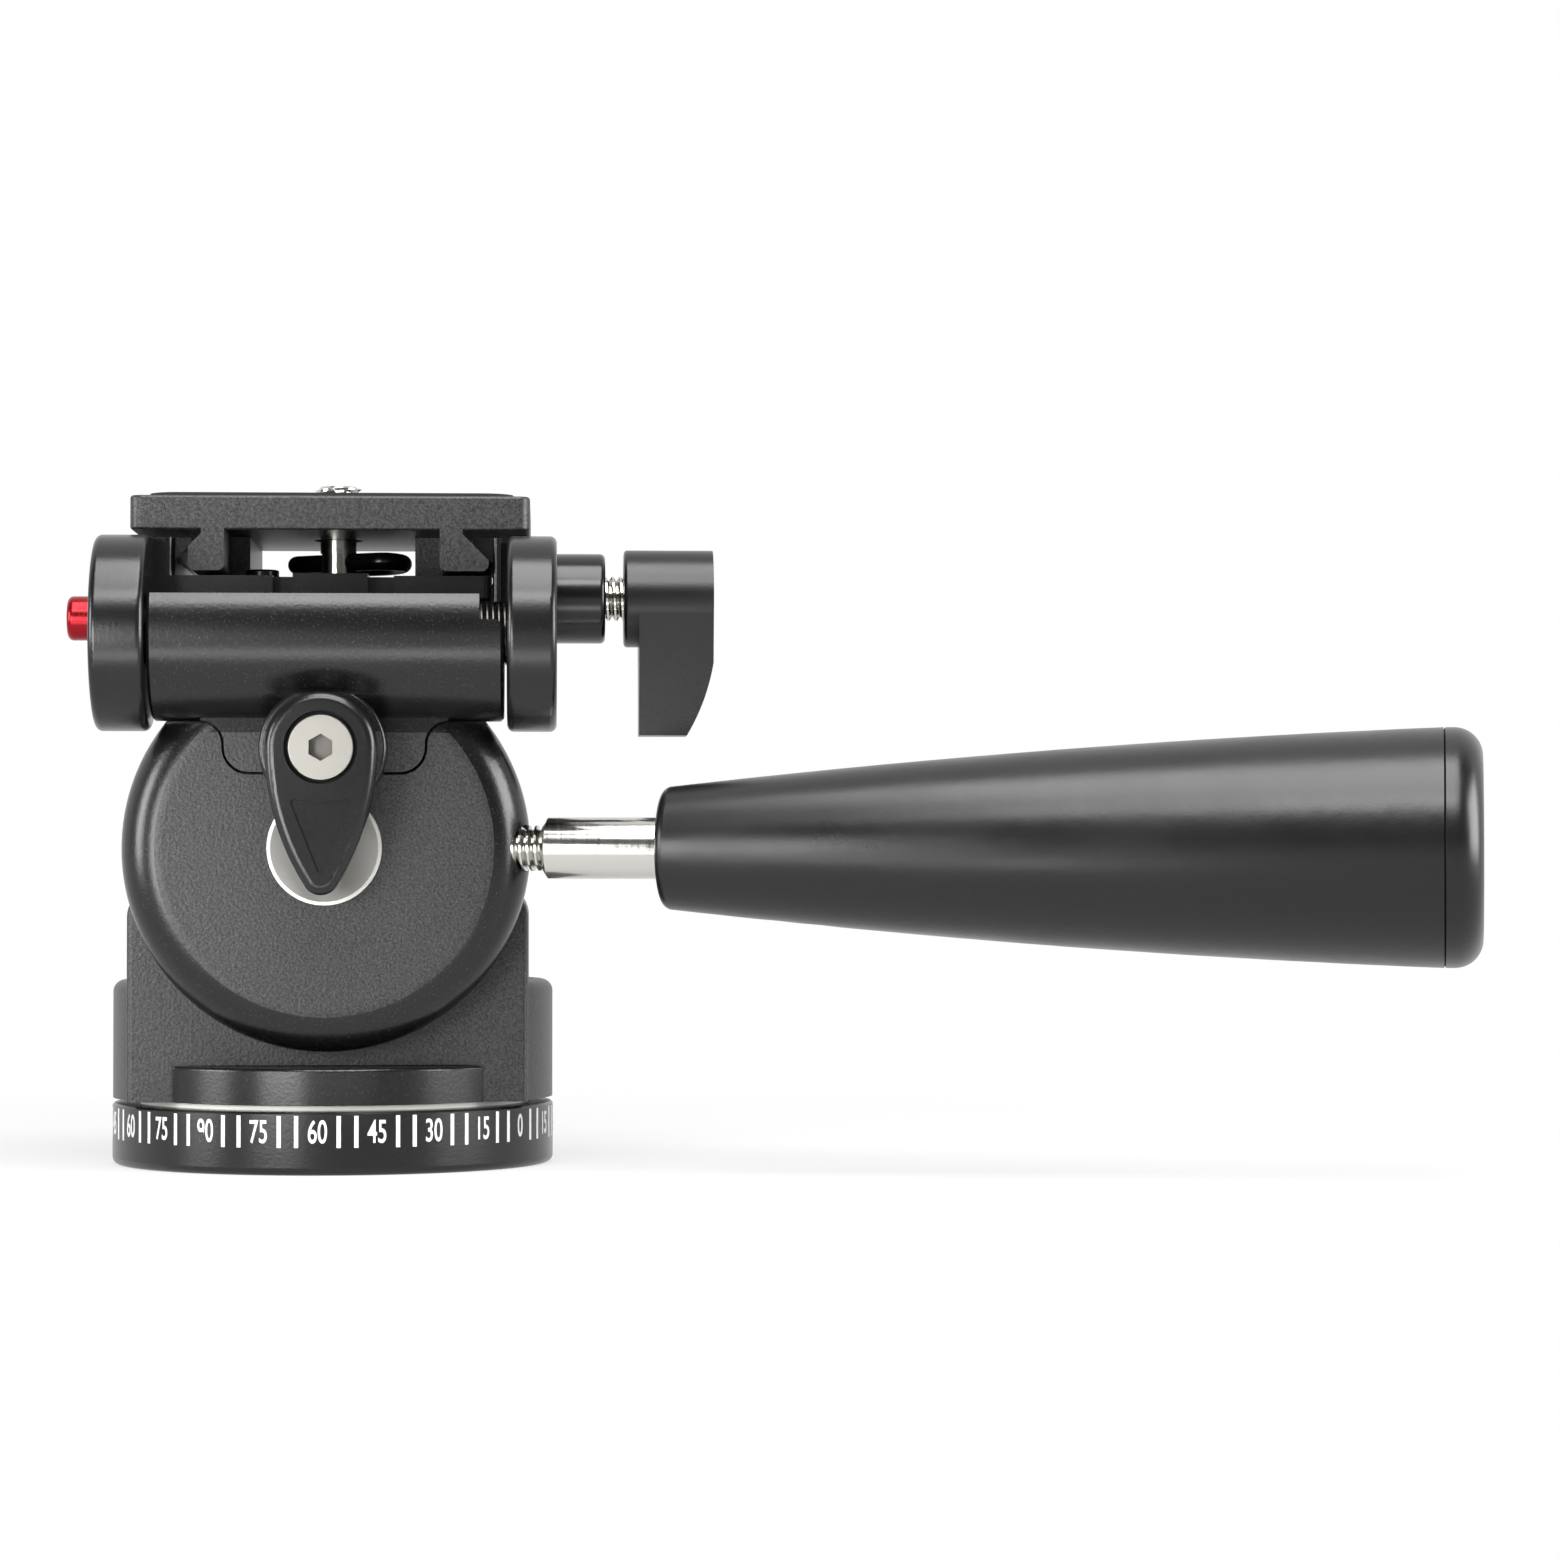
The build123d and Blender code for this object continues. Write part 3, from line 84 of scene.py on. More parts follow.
def add_node(tree, kind, links=None, **settings):
    """Adds a node. A setting names an attribute, a numbered input such as _1, or an input's name."""
    node = tree.nodes.new(kind)
    for name, value in settings.items():
        if hasattr(node, name):
            setattr(node, name, value)
        elif name[0] == "_":
            node.inputs[int(name[1:])].default_value = value
        else:
            node.inputs[name.replace("_", " ")].default_value = value
    for socket, source in (links or {}).items():
        tree.links.new(source, node.inputs[socket])
    return node


def new_material(name):
    """A material with a Principled shader, and its tree and shader."""
    material = bpy.data.materials.new(name)
    material.use_nodes = True
    shader = material.node_tree.nodes["Principled BSDF"]
    return material, material.node_tree, shader


print("a middle grey in linear values:", [round(part, 3) for part in linear("#808080")])

# %% [markdown]
# ## Black anodised aluminium
# The castings are aluminium, anodised black. Flat faces were blasted with fine grit, which spreads the
# light into an even dark grey with tiny bright specks. Round surfaces were turned first and keep
# tighter, darker reflections. One material holds both, and a mask from the place and the facing of the
# surface tells them apart: it is a fact about the part, so it stays the same in every view.

# %% The black metals
# Real grit marks are about 0.1 mm wide, too fine to show here, so both patterns are drawn coarser.
grit_size = 0.45 * MM
speck_size = 0.28 * MM
grit_height = 0.06 * MM
hand_wear_size = 14 * MM
coat_specular = 0.42
blasted_dark, blasted_light = "#101011", "#303031"
blasted_roughness = 0.4
blasted_below = 57 * MM
facing_limit = 0.985
ledge_radius = 27.2 * MM
ledge_top = 13.75 * MM


def compare(tree, kind, value, limit):
    """1 where the value is above or below the limit."""
    return add_node(tree, "ShaderNodeMath", {0: value}, operation=kind, _1=limit).outputs[0]


def multiply(tree, first, second):
    return add_node(tree, "ShaderNodeMath", {0: first, 1: second}, operation="MULTIPLY").outputs[0]


def flat_front(tree):
    """A mask of the low faces that look straight to the front or the back."""
    coordinates = add_node(tree, "ShaderNodeTexCoord").outputs
    facing = add_node(tree, "ShaderNodeSeparateXYZ", {"Vector": coordinates["Normal"]}).outputs["Y"]
    straight = add_node(tree, "ShaderNodeMath", {0: facing}, operation="ABSOLUTE").outputs[0]
    height = add_node(tree, "ShaderNodeSeparateXYZ", {"Vector": coordinates["Object"]}).outputs["Z"]
    return multiply(tree, compare(tree, "GREATER_THAN", straight, facing_limit),
                    compare(tree, "LESS_THAN", height, blasted_below))


def outside_ledge(tree):
    """A mask of all but the turned ledge at the foot of the pan body."""
    axes = add_node(tree, "ShaderNodeSeparateXYZ",
                    {"Vector": add_node(tree, "ShaderNodeTexCoord").outputs["Object"]}).outputs
    flat = add_node(tree, "ShaderNodeCombineXYZ", {"X": axes["X"], "Y": axes["Y"]}).outputs[0]
    radius = add_node(tree, "ShaderNodeVectorMath", {0: flat}, operation="LENGTH").outputs["Value"]
    ledge = multiply(tree, compare(tree, "LESS_THAN", radius, ledge_radius),
                     compare(tree, "LESS_THAN", axes["Z"], ledge_top))
    return add_node(tree, "ShaderNodeMath", {1: ledge}, operation="SUBTRACT", _0=1.0).outputs[0]


def everywhere(tree):
    """A mask of the whole surface."""
    return add_node(tree, "ShaderNodeMath", operation="ADD", _0=1.0, _1=0.0).outputs[0]


def black_metal(name, base, speck, smooth, grit_strength, blasted=None):
    """Black anodised aluminium, smooth where turned and rough where the mask says blasted."""
    material, tree, shader = new_material(name)
    place = add_node(tree, "ShaderNodeTexCoord").outputs["Object"]
    specks = add_node(tree, "ShaderNodeTexNoise", {"Vector": place}, Scale=1 / speck_size, Detail=2.0,
                      Roughness=0.6)
    speck_mask = add_node(tree, "ShaderNodeMapRange", {"Value": specks.outputs["Fac"]},
                          From_Min=0.60, From_Max=0.72)
    cloud = add_node(tree, "ShaderNodeTexNoise", {"Vector": place}, Scale=1 / hand_wear_size, Detail=3.0)
    grit = add_node(tree, "ShaderNodeTexNoise", {"Vector": place}, Scale=1 / grit_size, Detail=2.0)
    speckled = add_node(tree, "ShaderNodeMix", {"Factor": speck_mask.outputs["Result"]}, data_type="RGBA")
    speckled.inputs[6].default_value = linear(base)
    speckled.inputs[7].default_value = linear(speck)
    colour = speckled.outputs[2]
    roughness = add_node(tree, "ShaderNodeMapRange", {"Value": cloud.outputs["Fac"]}, From_Min=0.3,
                         From_Max=0.7, To_Min=smooth - 0.02, To_Max=smooth + 0.03).outputs["Result"]
    bump = add_node(tree, "ShaderNodeBump", {"Height": grit.outputs["Fac"]}, Strength=grit_strength,
                    Distance=grit_height)
    if blasted:
        mask = blasted(tree)
        grain = add_node(tree, "ShaderNodeValToRGB", {"Fac": specks.outputs["Fac"]})
        dark, light = grain.color_ramp.elements[0], grain.color_ramp.elements[1]
        dark.position, dark.color = 0.36, linear(blasted_dark)
        light.position, light.color = 0.64, linear(blasted_light)
        mixed = add_node(tree, "ShaderNodeMix", {"Factor": mask}, data_type="RGBA")
        tree.links.new(colour, mixed.inputs[6])
        tree.links.new(grain.outputs["Color"], mixed.inputs[7])
        colour = mixed.outputs[2]
        roughness = add_node(tree, "ShaderNodeMapRange", {"Value": mask, "To Min": roughness},
                             To_Max=blasted_roughness).outputs["Result"]
        deeper = add_node(tree, "ShaderNodeMapRange", {"Value": mask}, To_Min=grit_strength, To_Max=1.0)
        tree.links.new(deeper.outputs["Result"], bump.inputs["Strength"])
    tree.links.new(colour, shader.inputs["Base Color"])
    tree.links.new(roughness, shader.inputs["Roughness"])
    tree.links.new(bump.outputs["Normal"], shader.inputs["Normal"])
    shader.inputs["Specular IOR Level"].default_value = coat_specular
    return material


# The tilt housing is turned all round, with blasted discs at its front and back.
housing_black = black_metal("anodised_housing", "#0b0b0c", "#2a2a2b", 0.24, 0.25, flat_front)
# The pan body is blasted all over, but for its turned ledge.
body_black = black_metal("anodised_body", "#0b0b0c", "#2a2a2b", 0.22, 0.2, outside_ledge)
# The plate and the rear cover are blasted all over.
plate_black = black_metal("anodised_plate", "#111112", "#2a2a2b", 0.3, 0.3, everywhere)
# The clamp, the lever and the base ring have a satin coat with little grain.
satin_black = black_metal("satin_anodised_aluminium", "#0b0b0c", "#1a1a1b", 0.24, 0.2)
# Small turned pieces are smoother and darker still.
turned_black = black_metal("turned_anodised_aluminium", "#0a0a0b", "#121213", 0.22, 0.08)
black_metals = (housing_black, body_black, plate_black, satin_black, turned_black)
print("black metals:", ", ".join(metal.name for metal in black_metals))

# %% [markdown]
# ## Moulded plastic
# The grip, its end cap and the knobs are glass-filled nylon, moulded against a spark-eroded steel
# mould. That gives an even leathery grain of about 0.3 mm and a soft sheen, with no bright specks.

# %% The black plastics and rubber
def grained_plastic(name, base, roughness, grain_size, grain_depth):
    """Black polymer with the fine grain of its mould."""
    material, tree, shader = new_material(name)
    place = add_node(tree, "ShaderNodeTexCoord").outputs["Object"]
    grain = add_node(tree, "ShaderNodeTexNoise", {"Vector": place}, Scale=1 / grain_size, Detail=3.0,
                     Roughness=0.65)
    bump = add_node(tree, "ShaderNodeBump", {"Height": grain.outputs["Fac"]}, Strength=0.6,
                    Distance=grain_depth)
    patches = add_node(tree, "ShaderNodeTexNoise", {"Vector": place}, Scale=1 / hand_wear_size, Detail=4.0)
    rough = add_node(tree, "ShaderNodeMapRange", {"Value": patches.outputs["Fac"]}, From_Min=0.3,
                     From_Max=0.7, To_Min=roughness - 0.04, To_Max=roughness + 0.05)
    tree.links.new(rough.outputs["Result"], shader.inputs["Roughness"])
    tree.links.new(bump.outputs["Normal"], shader.inputs["Normal"])
    shader.inputs["Base Color"].default_value = linear(base)
    shader.inputs["Specular IOR Level"].default_value = coat_specular
    return material


nylon_grain = 0.3 * MM
black_nylon = grained_plastic("moulded_glass_filled_nylon", "#0c0c0c", 0.3, nylon_grain, 0.02 * MM)
black_rubber = grained_plastic("pressed_rubber_sheet", "#1a1a1a", 0.75, 0.5 * MM, 0.08 * MM)
acetal_white = grained_plastic("turned_acetal", "#d8d8d2", 0.35, 0.4 * MM, 0.005 * MM)
print("polymers:", ", ".join(polymer.name for polymer in (black_nylon, black_rubber, acetal_white)))

# %% [markdown]
# ## Bright metals
# The handle rod and the screws are stainless steel. Polishing on a lathe leaves very fine rings round
# the axis, which stretch a highlight along the bar. A noise that is squeezed along the axis gives
# those rings. The fasteners inside are plain plated steel, and the brake plungers are brass.

# %% The bright metals
def bright_metal(name, base, roughness, axis_squeeze, line_size, line_depth=0.002 * MM, metallic=1.0):
    """Metal with fine tool lines; the squeeze stretches the noise across the piece's axis."""
    material, tree, shader = new_material(name)
    place = add_node(tree, "ShaderNodeTexCoord").outputs["Object"]
    stretch = add_node(tree, "ShaderNodeMapping", {"Vector": place}, Scale=axis_squeeze)
    lines = add_node(tree, "ShaderNodeTexNoise", {"Vector": stretch.outputs["Vector"]},
                     Scale=1 / line_size, Detail=4.0)
    rough = add_node(tree, "ShaderNodeMapRange", {"Value": lines.outputs["Fac"]}, From_Min=0.25,
                     From_Max=0.75, To_Min=roughness * 0.7, To_Max=roughness * 1.4)
    bump = add_node(tree, "ShaderNodeBump", {"Height": lines.outputs["Fac"]}, Strength=0.3,
                    Distance=line_depth)
    tree.links.new(rough.outputs["Result"], shader.inputs["Roughness"])
    tree.links.new(bump.outputs["Normal"], shader.inputs["Normal"])
    shader.inputs["Base Color"].default_value = linear(base)
    shader.inputs["Metallic"].default_value = metallic
    return material


polished_steel = bright_metal("polished_stainless_steel", "#c9c7c2", 0.14, (1, 0.04, 0.04), 0.3 * MM)
turned_steel = bright_metal("turned_plated_steel", "#a9a8a4", 0.26, (1, 1, 1), 0.4 * MM)
dark_steel = bright_metal("blackened_steel", "#4a4845", 0.3, (0.05, 1, 1), 0.3 * MM)
turned_brass = bright_metal("turned_brass", "#c9a65a", 0.28, (1, 1, 1), 0.4 * MM)
red_anodised = bright_metal("red_anodised_aluminium", "#8c0f1a", 0.22, (1, 0.05, 0.05), 0.3 * MM,
                            metallic=0.75)
bright_metals = (polished_steel, turned_steel, dark_steel, turned_brass, red_anodised)
print("bright metals:", ", ".join(metal.name for metal in bright_metals))

# %% [markdown]
# The silver cap on the tilt axle and the lever's screw are faced on a lathe, so their tool marks run in
# rings round their own centres. A wave texture in ring form, centred there by a mapping, draws them.
# The walls and the floor of the screw's socket get a painted shade: their colour is darker, as a recess
# shows.

# %% The faced steel
tilt_height = 42.1 * MM
lever_height = 54.8 * MM
screw_face = -37.95 * MM
# The grey of the painted shade in the screw's socket, and the depth over which it fades in.
socket_painted_shade_grey = "#6f6c68"
socket_shade_fade = 0.4 * MM
# Real tool rings are about 0.1 mm apart, too fine to show here, so they are drawn wider.
ring_spacing = 0.754 * MM
wave_radians = 20


def faced_metal(name, base, roughness, centre_height, painted_shade_from=None):
    """Steel faced in rings round a line along Y; a painted shade darkens it further back than the given
    depth.
    """
    material, tree, shader = new_material(name)
    place = add_node(tree, "ShaderNodeTexCoord").outputs["Object"]
    centred = add_node(tree, "ShaderNodeMapping", {"Vector": place}, Location=(0, 0, -centre_height))
    rings = add_node(tree, "ShaderNodeTexWave", {"Vector": centred.outputs["Vector"]}, wave_type="RINGS",
                     rings_direction="Y", Scale=2 * math.pi / (wave_radians * ring_spacing),
                     Distortion=0.4)
    bump = add_node(tree, "ShaderNodeBump", {"Height": rings.outputs["Fac"]}, Strength=0.2,
                    Distance=0.003 * MM)
    tree.links.new(bump.outputs["Normal"], shader.inputs["Normal"])
    shader.inputs["Base Color"].default_value = linear(base)
    # Painted shade: the colour turns darker inside the socket.
    if painted_shade_from is not None:
        depth = add_node(tree, "ShaderNodeSeparateXYZ", {"Vector": place}).outputs["Y"]
        inside = add_node(tree, "ShaderNodeMapRange", {"Value": depth}, From_Min=painted_shade_from,
                          From_Max=painted_shade_from + socket_shade_fade)
        colour = add_node(tree, "ShaderNodeMix", {"Factor": inside.outputs["Result"]}, data_type="RGBA")
        colour.inputs[6].default_value = linear(base)
        colour.inputs[7].default_value = linear(socket_painted_shade_grey)
        tree.links.new(colour.outputs[2], shader.inputs["Base Color"])
    shader.inputs["Metallic"].default_value = 1
    shader.inputs["Roughness"].default_value = roughness
    return material


faced_cap = faced_metal("faced_cap_steel", "#d2d0cb", 0.36, tilt_height)
faced_screw = faced_metal("faced_screw_steel", "#989690", 0.42, lever_height, screw_face + 0.1 * MM)
print("faced steel:", faced_cap.name, "and", faced_screw.name)

# %% [markdown]
# The scale on the base ring is printed in white ink, slightly uneven in strength and quite matt.

# %% White ink
ink_patch_size = 0.4 * MM


def printed_ink():
    """White ink that covers a little unevenly."""
    material, tree, shader = new_material("printed_white_ink")
    place = add_node(tree, "ShaderNodeTexCoord").outputs["Object"]
    patches = add_node(tree, "ShaderNodeTexNoise", {"Vector": place}, Scale=1 / ink_patch_size, Detail=3.0)
    colour = add_node(tree, "ShaderNodeMix", {"Factor": patches.outputs["Fac"]}, data_type="RGBA")
    colour.inputs[6].default_value = linear("#c2c2c0")
    colour.inputs[7].default_value = linear("#d2d2d0")
    tree.links.new(colour.outputs[2], shader.inputs["Base Color"])
    shader.inputs["Roughness"].default_value = 0.6
    return material


white_ink = printed_ink()
print("ink", white_ink.name)

# %% [markdown]
# ## Finishes for the CAD nodes
# Most CAD nodes already have the right shape, so they only get the right material.

# %% Give each CAD node its finish
finishes = {
    housing_black: ["tilt_housing"],
    body_black: ["pan_body"],
    plate_black: ["quick_release_plate", "rear_cover"],
    satin_black: ["clamp_base", "base_ring", "moving_jaw", "side_lock_lever", "safety_catch"],
    turned_black: ["clamp_screw_boss", "side_tilt_axle", "camera_screw_ring"],
    black_nylon: ["handle_grip", "handle_end_cap", "clamp_knob", "pan_lock_knob"],
    black_rubber: ["plate_pad"],
    acetal_white: ["pan_friction_washer", "tilt_friction_washer", "side_lock_washer"],
    polished_steel: ["handle_rod", "camera_screw", "clamp_screw"],
    faced_screw: ["side_lock_screw"],
    turned_steel: ["tripod_bushing", "pan_spindle", "spindle_screws", "spindle_thrust_washer",
                   "spindle_nut", "tilt_axle", "tilt_axle_washer", "tilt_axle_nut", "pan_lock_screw",
                   "grip_nut", "grip_washer", "clamp_screw_clip", "button_spring"],
    turned_brass: ["pan_lock_shoe", "tilt_brake_plunger"],
    red_anodised: ["release_button"],
    faced_cap: ["tilt_axle_cap"],
}
for material, names in finishes.items():
    for name in names:
        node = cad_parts[name]
        node.data.materials.clear()
        node.data.materials.append(material)
print("nodes with a finish:", sum(len(names) for names in finishes.values()))

# %% [markdown]
# ## Cut threads
# A thread is a zigzag that climbs round a bar. Here one edge chain, a zigzag along the bar, is spun
# once round the axis while it moves on by one pitch, so that its end meets its own start one tooth
# further. Both ends are then cut square and closed. The rest of each screw is turned from a profile.

# %% Helpers for turned and threaded pieces
round_steps = 64
weld_distance = 0.0005 * MM
thread_weld_distance = 0.002 * MM
thread_depth_share = 0.6


def finish_mesh(bm, name, material, place, body, replaced=None, smooth_angle=35):
    """Closes up a bmesh, puts it in its place and gives it to a body."""
    bmesh.ops.remove_doubles(bm, verts=bm.verts, dist=weld_distance)
    bmesh.ops.recalc_face_normals(bm, faces=bm.faces)
    bmesh.ops.transform(bm, matrix=place, verts=bm.verts)
    mesh = bpy.data.meshes.new(name)
    bm.to_mesh(mesh)
    bm.free()
    mesh.materials.append(material)
    for polygon in mesh.polygons:
        polygon.use_smooth = True
    mesh.set_sharp_from_angle(angle=math.radians(smooth_angle))
    piece = bpy.data.objects.new(name, mesh)
    bpy.context.scene.collection.objects.link(piece)
    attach(piece, body)
    if replaced:
        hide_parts(replaced)
    print(name, len(mesh.polygons), "faces")
    return piece


def add_turned(bm, profile):
    """Spins a profile of (along, radius) points in mm round the X axis."""
    made = bmesh.new()
    verts = [made.verts.new((x * MM, 0, r * MM)) for x, r in profile]
    edges = [made.edges.new(pair) for pair in zip(verts, verts[1:])]
    bmesh.ops.spin(made, geom=verts + edges, cent=(0, 0, 0), axis=(1, 0, 0), angle=2 * math.pi,
                   steps=round_steps, use_merge=True)
    bmesh.ops.remove_doubles(made, verts=made.verts, dist=weld_distance)
    join_into(bm, made)


def add_thread(bm, start, end, radius, pitch):
    """A helical thread along X from start to end, in mm, closed at both ends."""
    made = bmesh.new()
    root = radius - thread_depth_share * pitch
    half_crest = pitch / 8
    middle = (start + end) / 2 * MM
    x, points = start - 2 * pitch, []
    while x < end + 2 * pitch:
        points += [(x, root), (x + pitch / 2 - half_crest, radius), (x + pitch / 2 + half_crest, radius)]
        x += pitch
    verts = [made.verts.new((x * MM, 0, r * MM)) for x, r in points]
    edges = [made.edges.new(pair) for pair in zip(verts, verts[1:])]
    bmesh.ops.spin(made, geom=verts + edges, cent=(0, 0, 0), axis=(1, 0, 0), angle=2 * math.pi,
                   dvec=(pitch * MM / round_steps, 0, 0), steps=round_steps, use_merge=False)
    bmesh.ops.remove_doubles(made, verts=made.verts, dist=thread_weld_distance)
    for cut, side in ((start, -1), (end, 1)):
        bmesh.ops.bisect_plane(made, geom=made.verts[:] + made.edges[:] + made.faces[:],
                               plane_co=(cut * MM, 0, 0), plane_no=(side, 0, 0), clear_outer=True)
    rim = [edge for edge in made.edges if edge.is_boundary]
    bmesh.ops.contextual_create(made, geom=[e for e in rim if e.verts[0].co.x < middle])
    rim = [edge for edge in made.edges if edge.is_boundary]
    bmesh.ops.contextual_create(made, geom=rim)
    join_into(bm, made)


def join_into(bm, made):
    """Adds one bmesh to another."""
    mesh = bpy.data.meshes.new("scratch")
    made.to_mesh(mesh)
    made.free()
    bm.from_mesh(mesh)
    bpy.data.meshes.remove(mesh)


print("steps round a turned piece:", round_steps)

# %% [markdown]
# The clamp screw shows two turns of its M6 thread between the boss and the wing knob.

# %% The clamp screw
barrel_height = 69.9
screw_y, screw_rise = -7.0, 5.7
m6_radius, m6_pitch = 3.0, 1.0
thread_play = 0.02
screw_thread_from, screw_thread_to = 24.9, 46.8
tip_from, tip_to, tip_radius = 22.9, 25.1, 2.0
clip_pin_from, clip_pin_radius = 22.3, 1.0

along_screw = Matrix.Translation(Vector((0, screw_y, barrel_height + screw_rise)) * MM)
screw = bmesh.new()
add_thread(screw, screw_thread_from, screw_thread_to, m6_radius - thread_play, m6_pitch)
add_turned(screw, [(clip_pin_from, 0), (clip_pin_from, clip_pin_radius), (tip_from, clip_pin_radius),
                   (tip_from, tip_radius), (tip_to, tip_radius), (tip_to, 0)])
finish_mesh(screw, "clamp_screw_threaded", polished_steel, along_screw, "clamp_knob",
            "clamp_screw")

# %% [markdown]
# The handle's rod screws into the disc. A turn or two of its M6 stud shows at the rim, then comes the
# polished bar with a small chamfer, and inside the grip a second thread holds a washer and a nut.

# %% The handle rod
handle_place = (26.5, -23.9, 42.1)
handle_yaw = math.radians(-11.3)
stud_from, stud_to = -10.6, 2.2
rod_from, rod_to, rod_radius = 2.0, 76.0, 4.0
rod_chamfer, outer_chamfer_depth = 0.5, 0.7
grip_thread_from, grip_thread_to = 75.8, 88.0

along_handle = (Matrix.Translation(Vector(handle_place) * MM)
                @ Matrix.Rotation(handle_yaw, 4, "Z"))
rod = bmesh.new()
add_thread(rod, stud_from, stud_to, m6_radius - thread_play, m6_pitch)
add_turned(rod, [(rod_from, 0), (rod_from, rod_radius - outer_chamfer_depth),
                 (rod_from + rod_chamfer, rod_radius), (rod_to - rod_chamfer, rod_radius),
                 (rod_to, rod_radius - rod_chamfer), (rod_to, 0)])
add_thread(rod, grip_thread_from, grip_thread_to, m6_radius - thread_play, m6_pitch)
finish_mesh(rod, "handle_rod_threaded", polished_steel, along_handle, "handle",
            "handle_rod")

# %% [markdown]
# The axle of the side tilt is threaded at its right end, with a fine pitch. The thread shows in the
# notch between the barrel and the right ear. Its sunk head at the left has a round recess.

# %% The side-tilt axle
barrel_y = -25.0
axle_radius, fine_pitch = 4.0, 0.75
axle_thread_from, axle_thread_to = 19.7, 29.8
shank_to, shank_chamfer = 19.8, 0.4
head_inner, head_outer, head_radius, head_chamfer = -24.9, -28.9, 6.5, 0.5
socket_floor, socket_radius = -26.4, 2.5
socket_lip_radius, socket_lip_depth = 2.9, 0.2

along_barrel = Matrix.Translation(Vector((0, barrel_y, barrel_height)) * MM)
axle = bmesh.new()
add_thread(axle, axle_thread_from, axle_thread_to, axle_radius - thread_play, fine_pitch)
add_turned(axle, [(shank_to, 0), (shank_to, axle_radius - shank_chamfer),
                  (shank_to - shank_chamfer, axle_radius), (head_inner, axle_radius),
                  (head_inner, head_radius), (head_outer + head_chamfer, head_radius),
                  (head_outer, head_radius - head_chamfer), (head_outer, socket_lip_radius),
                  (head_outer + socket_lip_depth, socket_radius), (socket_floor, socket_radius),
                  (socket_floor, 0)])
finish_mesh(axle, "side_tilt_axle_threaded", dark_steel, along_barrel, "clamp",
            "side_tilt_axle")

# %% [markdown]
# The camera screw is a quarter-inch screw of twenty turns to the inch. Its thinner neck keeps it in
# the plate, and its foot reaches down to the folding ring.

# %% The camera screw
camera_screw_x = 0.5
quarter_inch_radius, quarter_inch_pitch = 3.175, 1.27
camera_thread_from, camera_thread_to = 88.3, 90.7
cone_from, cone_to, cone_low_radius, cone_top_radius = 90.6, 91.0, 2.75, 2.4
neck_to, neck_from, neck_radius = 88.6, 82.05, 2.45
foot_from, foot_radius = 78.95, 2.3

upright_at = (Matrix.Translation(Vector((camera_screw_x, 0, 0)) * MM)
              @ Matrix.Rotation(math.radians(-90), 4, "Y"))
camera_screw = bmesh.new()
add_thread(camera_screw, camera_thread_from, camera_thread_to, quarter_inch_radius - thread_play,
           quarter_inch_pitch)
add_turned(camera_screw, [(cone_from, 0), (cone_from, cone_low_radius), (cone_to, cone_top_radius),
                          (cone_to, 0)])
add_turned(camera_screw, [(neck_to, 0), (neck_to, neck_radius), (neck_from, neck_radius),
                          (neck_from, foot_radius), (foot_from, foot_radius), (foot_from, 0)])
finish_mesh(camera_screw, "camera_screw_threaded", polished_steel, upright_at, "camera_screw",
            "camera_screw")

# %% [markdown]
# ## The printed scale
# The scale runs all round the base ring: a number every 15 degrees, up to 90 and down again, with two
# short lines between each pair of numbers. The digits are narrow and bold. Each one is made as flat
# text, turned to a mesh and wrapped round the ring, a few hundredths of a millimetre proud of it.

# %% The scale's numbers and lines
ring_radius = 29.5
ink_proud = 0.03
zero_angle = 58.6
number_step = 15
digit_low, digit_height, digit_squeeze = 4.25, 3.05, 0.62
cap_height_share = 0.73
# At this boldness the outline of the nine crosses itself, so its lower stroke is lost.
digit_boldness = 0.045
line_low, line_high, line_width, line_offset = 3.6, 7.7, 0.55, 5.3


def wrap_on_ring(bm, centre_angle):
    """Bends flat geometry, drawn in XZ in mm with depth in Y, round the ring."""
    for vert in bm.verts:
        angle = math.radians(centre_angle) + vert.co.x / ring_radius
        radius = ring_radius + vert.co.y
        vert.co = Vector((radius * math.sin(angle), -radius * math.cos(angle), vert.co.z)) * MM


def number_mesh(text):
    """Flat text of a number as a thin closed bmesh, centred, in mm."""
    curve = bpy.data.curves.new("number", "FONT")
    curve.body = text
    curve.size = digit_height / cap_height_share
    curve.offset = digit_boldness
    curve.extrude = ink_proud
    curve.align_x = "CENTER"
    holder = bpy.data.objects.new("number", curve)
    mesh = bpy.data.meshes.new_from_object(holder)
    bm = bmesh.new()
    bm.from_mesh(mesh)
    bpy.data.objects.remove(holder)
    bpy.data.curves.remove(curve)
    bpy.data.meshes.remove(mesh)
    for vert in bm.verts:
        vert.co = Vector((vert.co.x * digit_squeeze, vert.co.z, vert.co.y + digit_low))
    return bm


scale = bmesh.new()
for step in range(360 // number_step):
    centre = zero_angle - step * number_step
    value = abs((step * number_step + 90) % 180 - 90)
    number = number_mesh(str(value))
    wrap_on_ring(number, centre)
    join_into(scale, number)
    for side in (-1, 1):
        line = bmesh.new()
        bmesh.ops.create_cube(line, size=1)
        bmesh.ops.scale(line, vec=(line_width, 2 * ink_proud, line_high - line_low), verts=line.verts)
        bmesh.ops.translate(line, vec=(0, 0, (line_high + line_low) / 2), verts=line.verts)
        wrap_on_ring(line, centre + side * line_offset)
        join_into(scale, line)
finish_mesh(scale, "printed_scale", white_ink, Matrix.Identity(4), "base")

# %% [markdown]
# ## Studio
# The object stands on a pale floor against white. Both are white to the camera and in reflections, and
# near the object the floor keeps a soft shadow. The front of the room is dim, as a studio is, so black
# metal stays black there. Six soft boxes draw the highlights: one above, one high in front, one at the
# front left, one at either side, and a low card in front. Their places come from the bright bands on
# the round parts. Together they light the object well above a plain level, so pale colours render
# lighter than they are written.

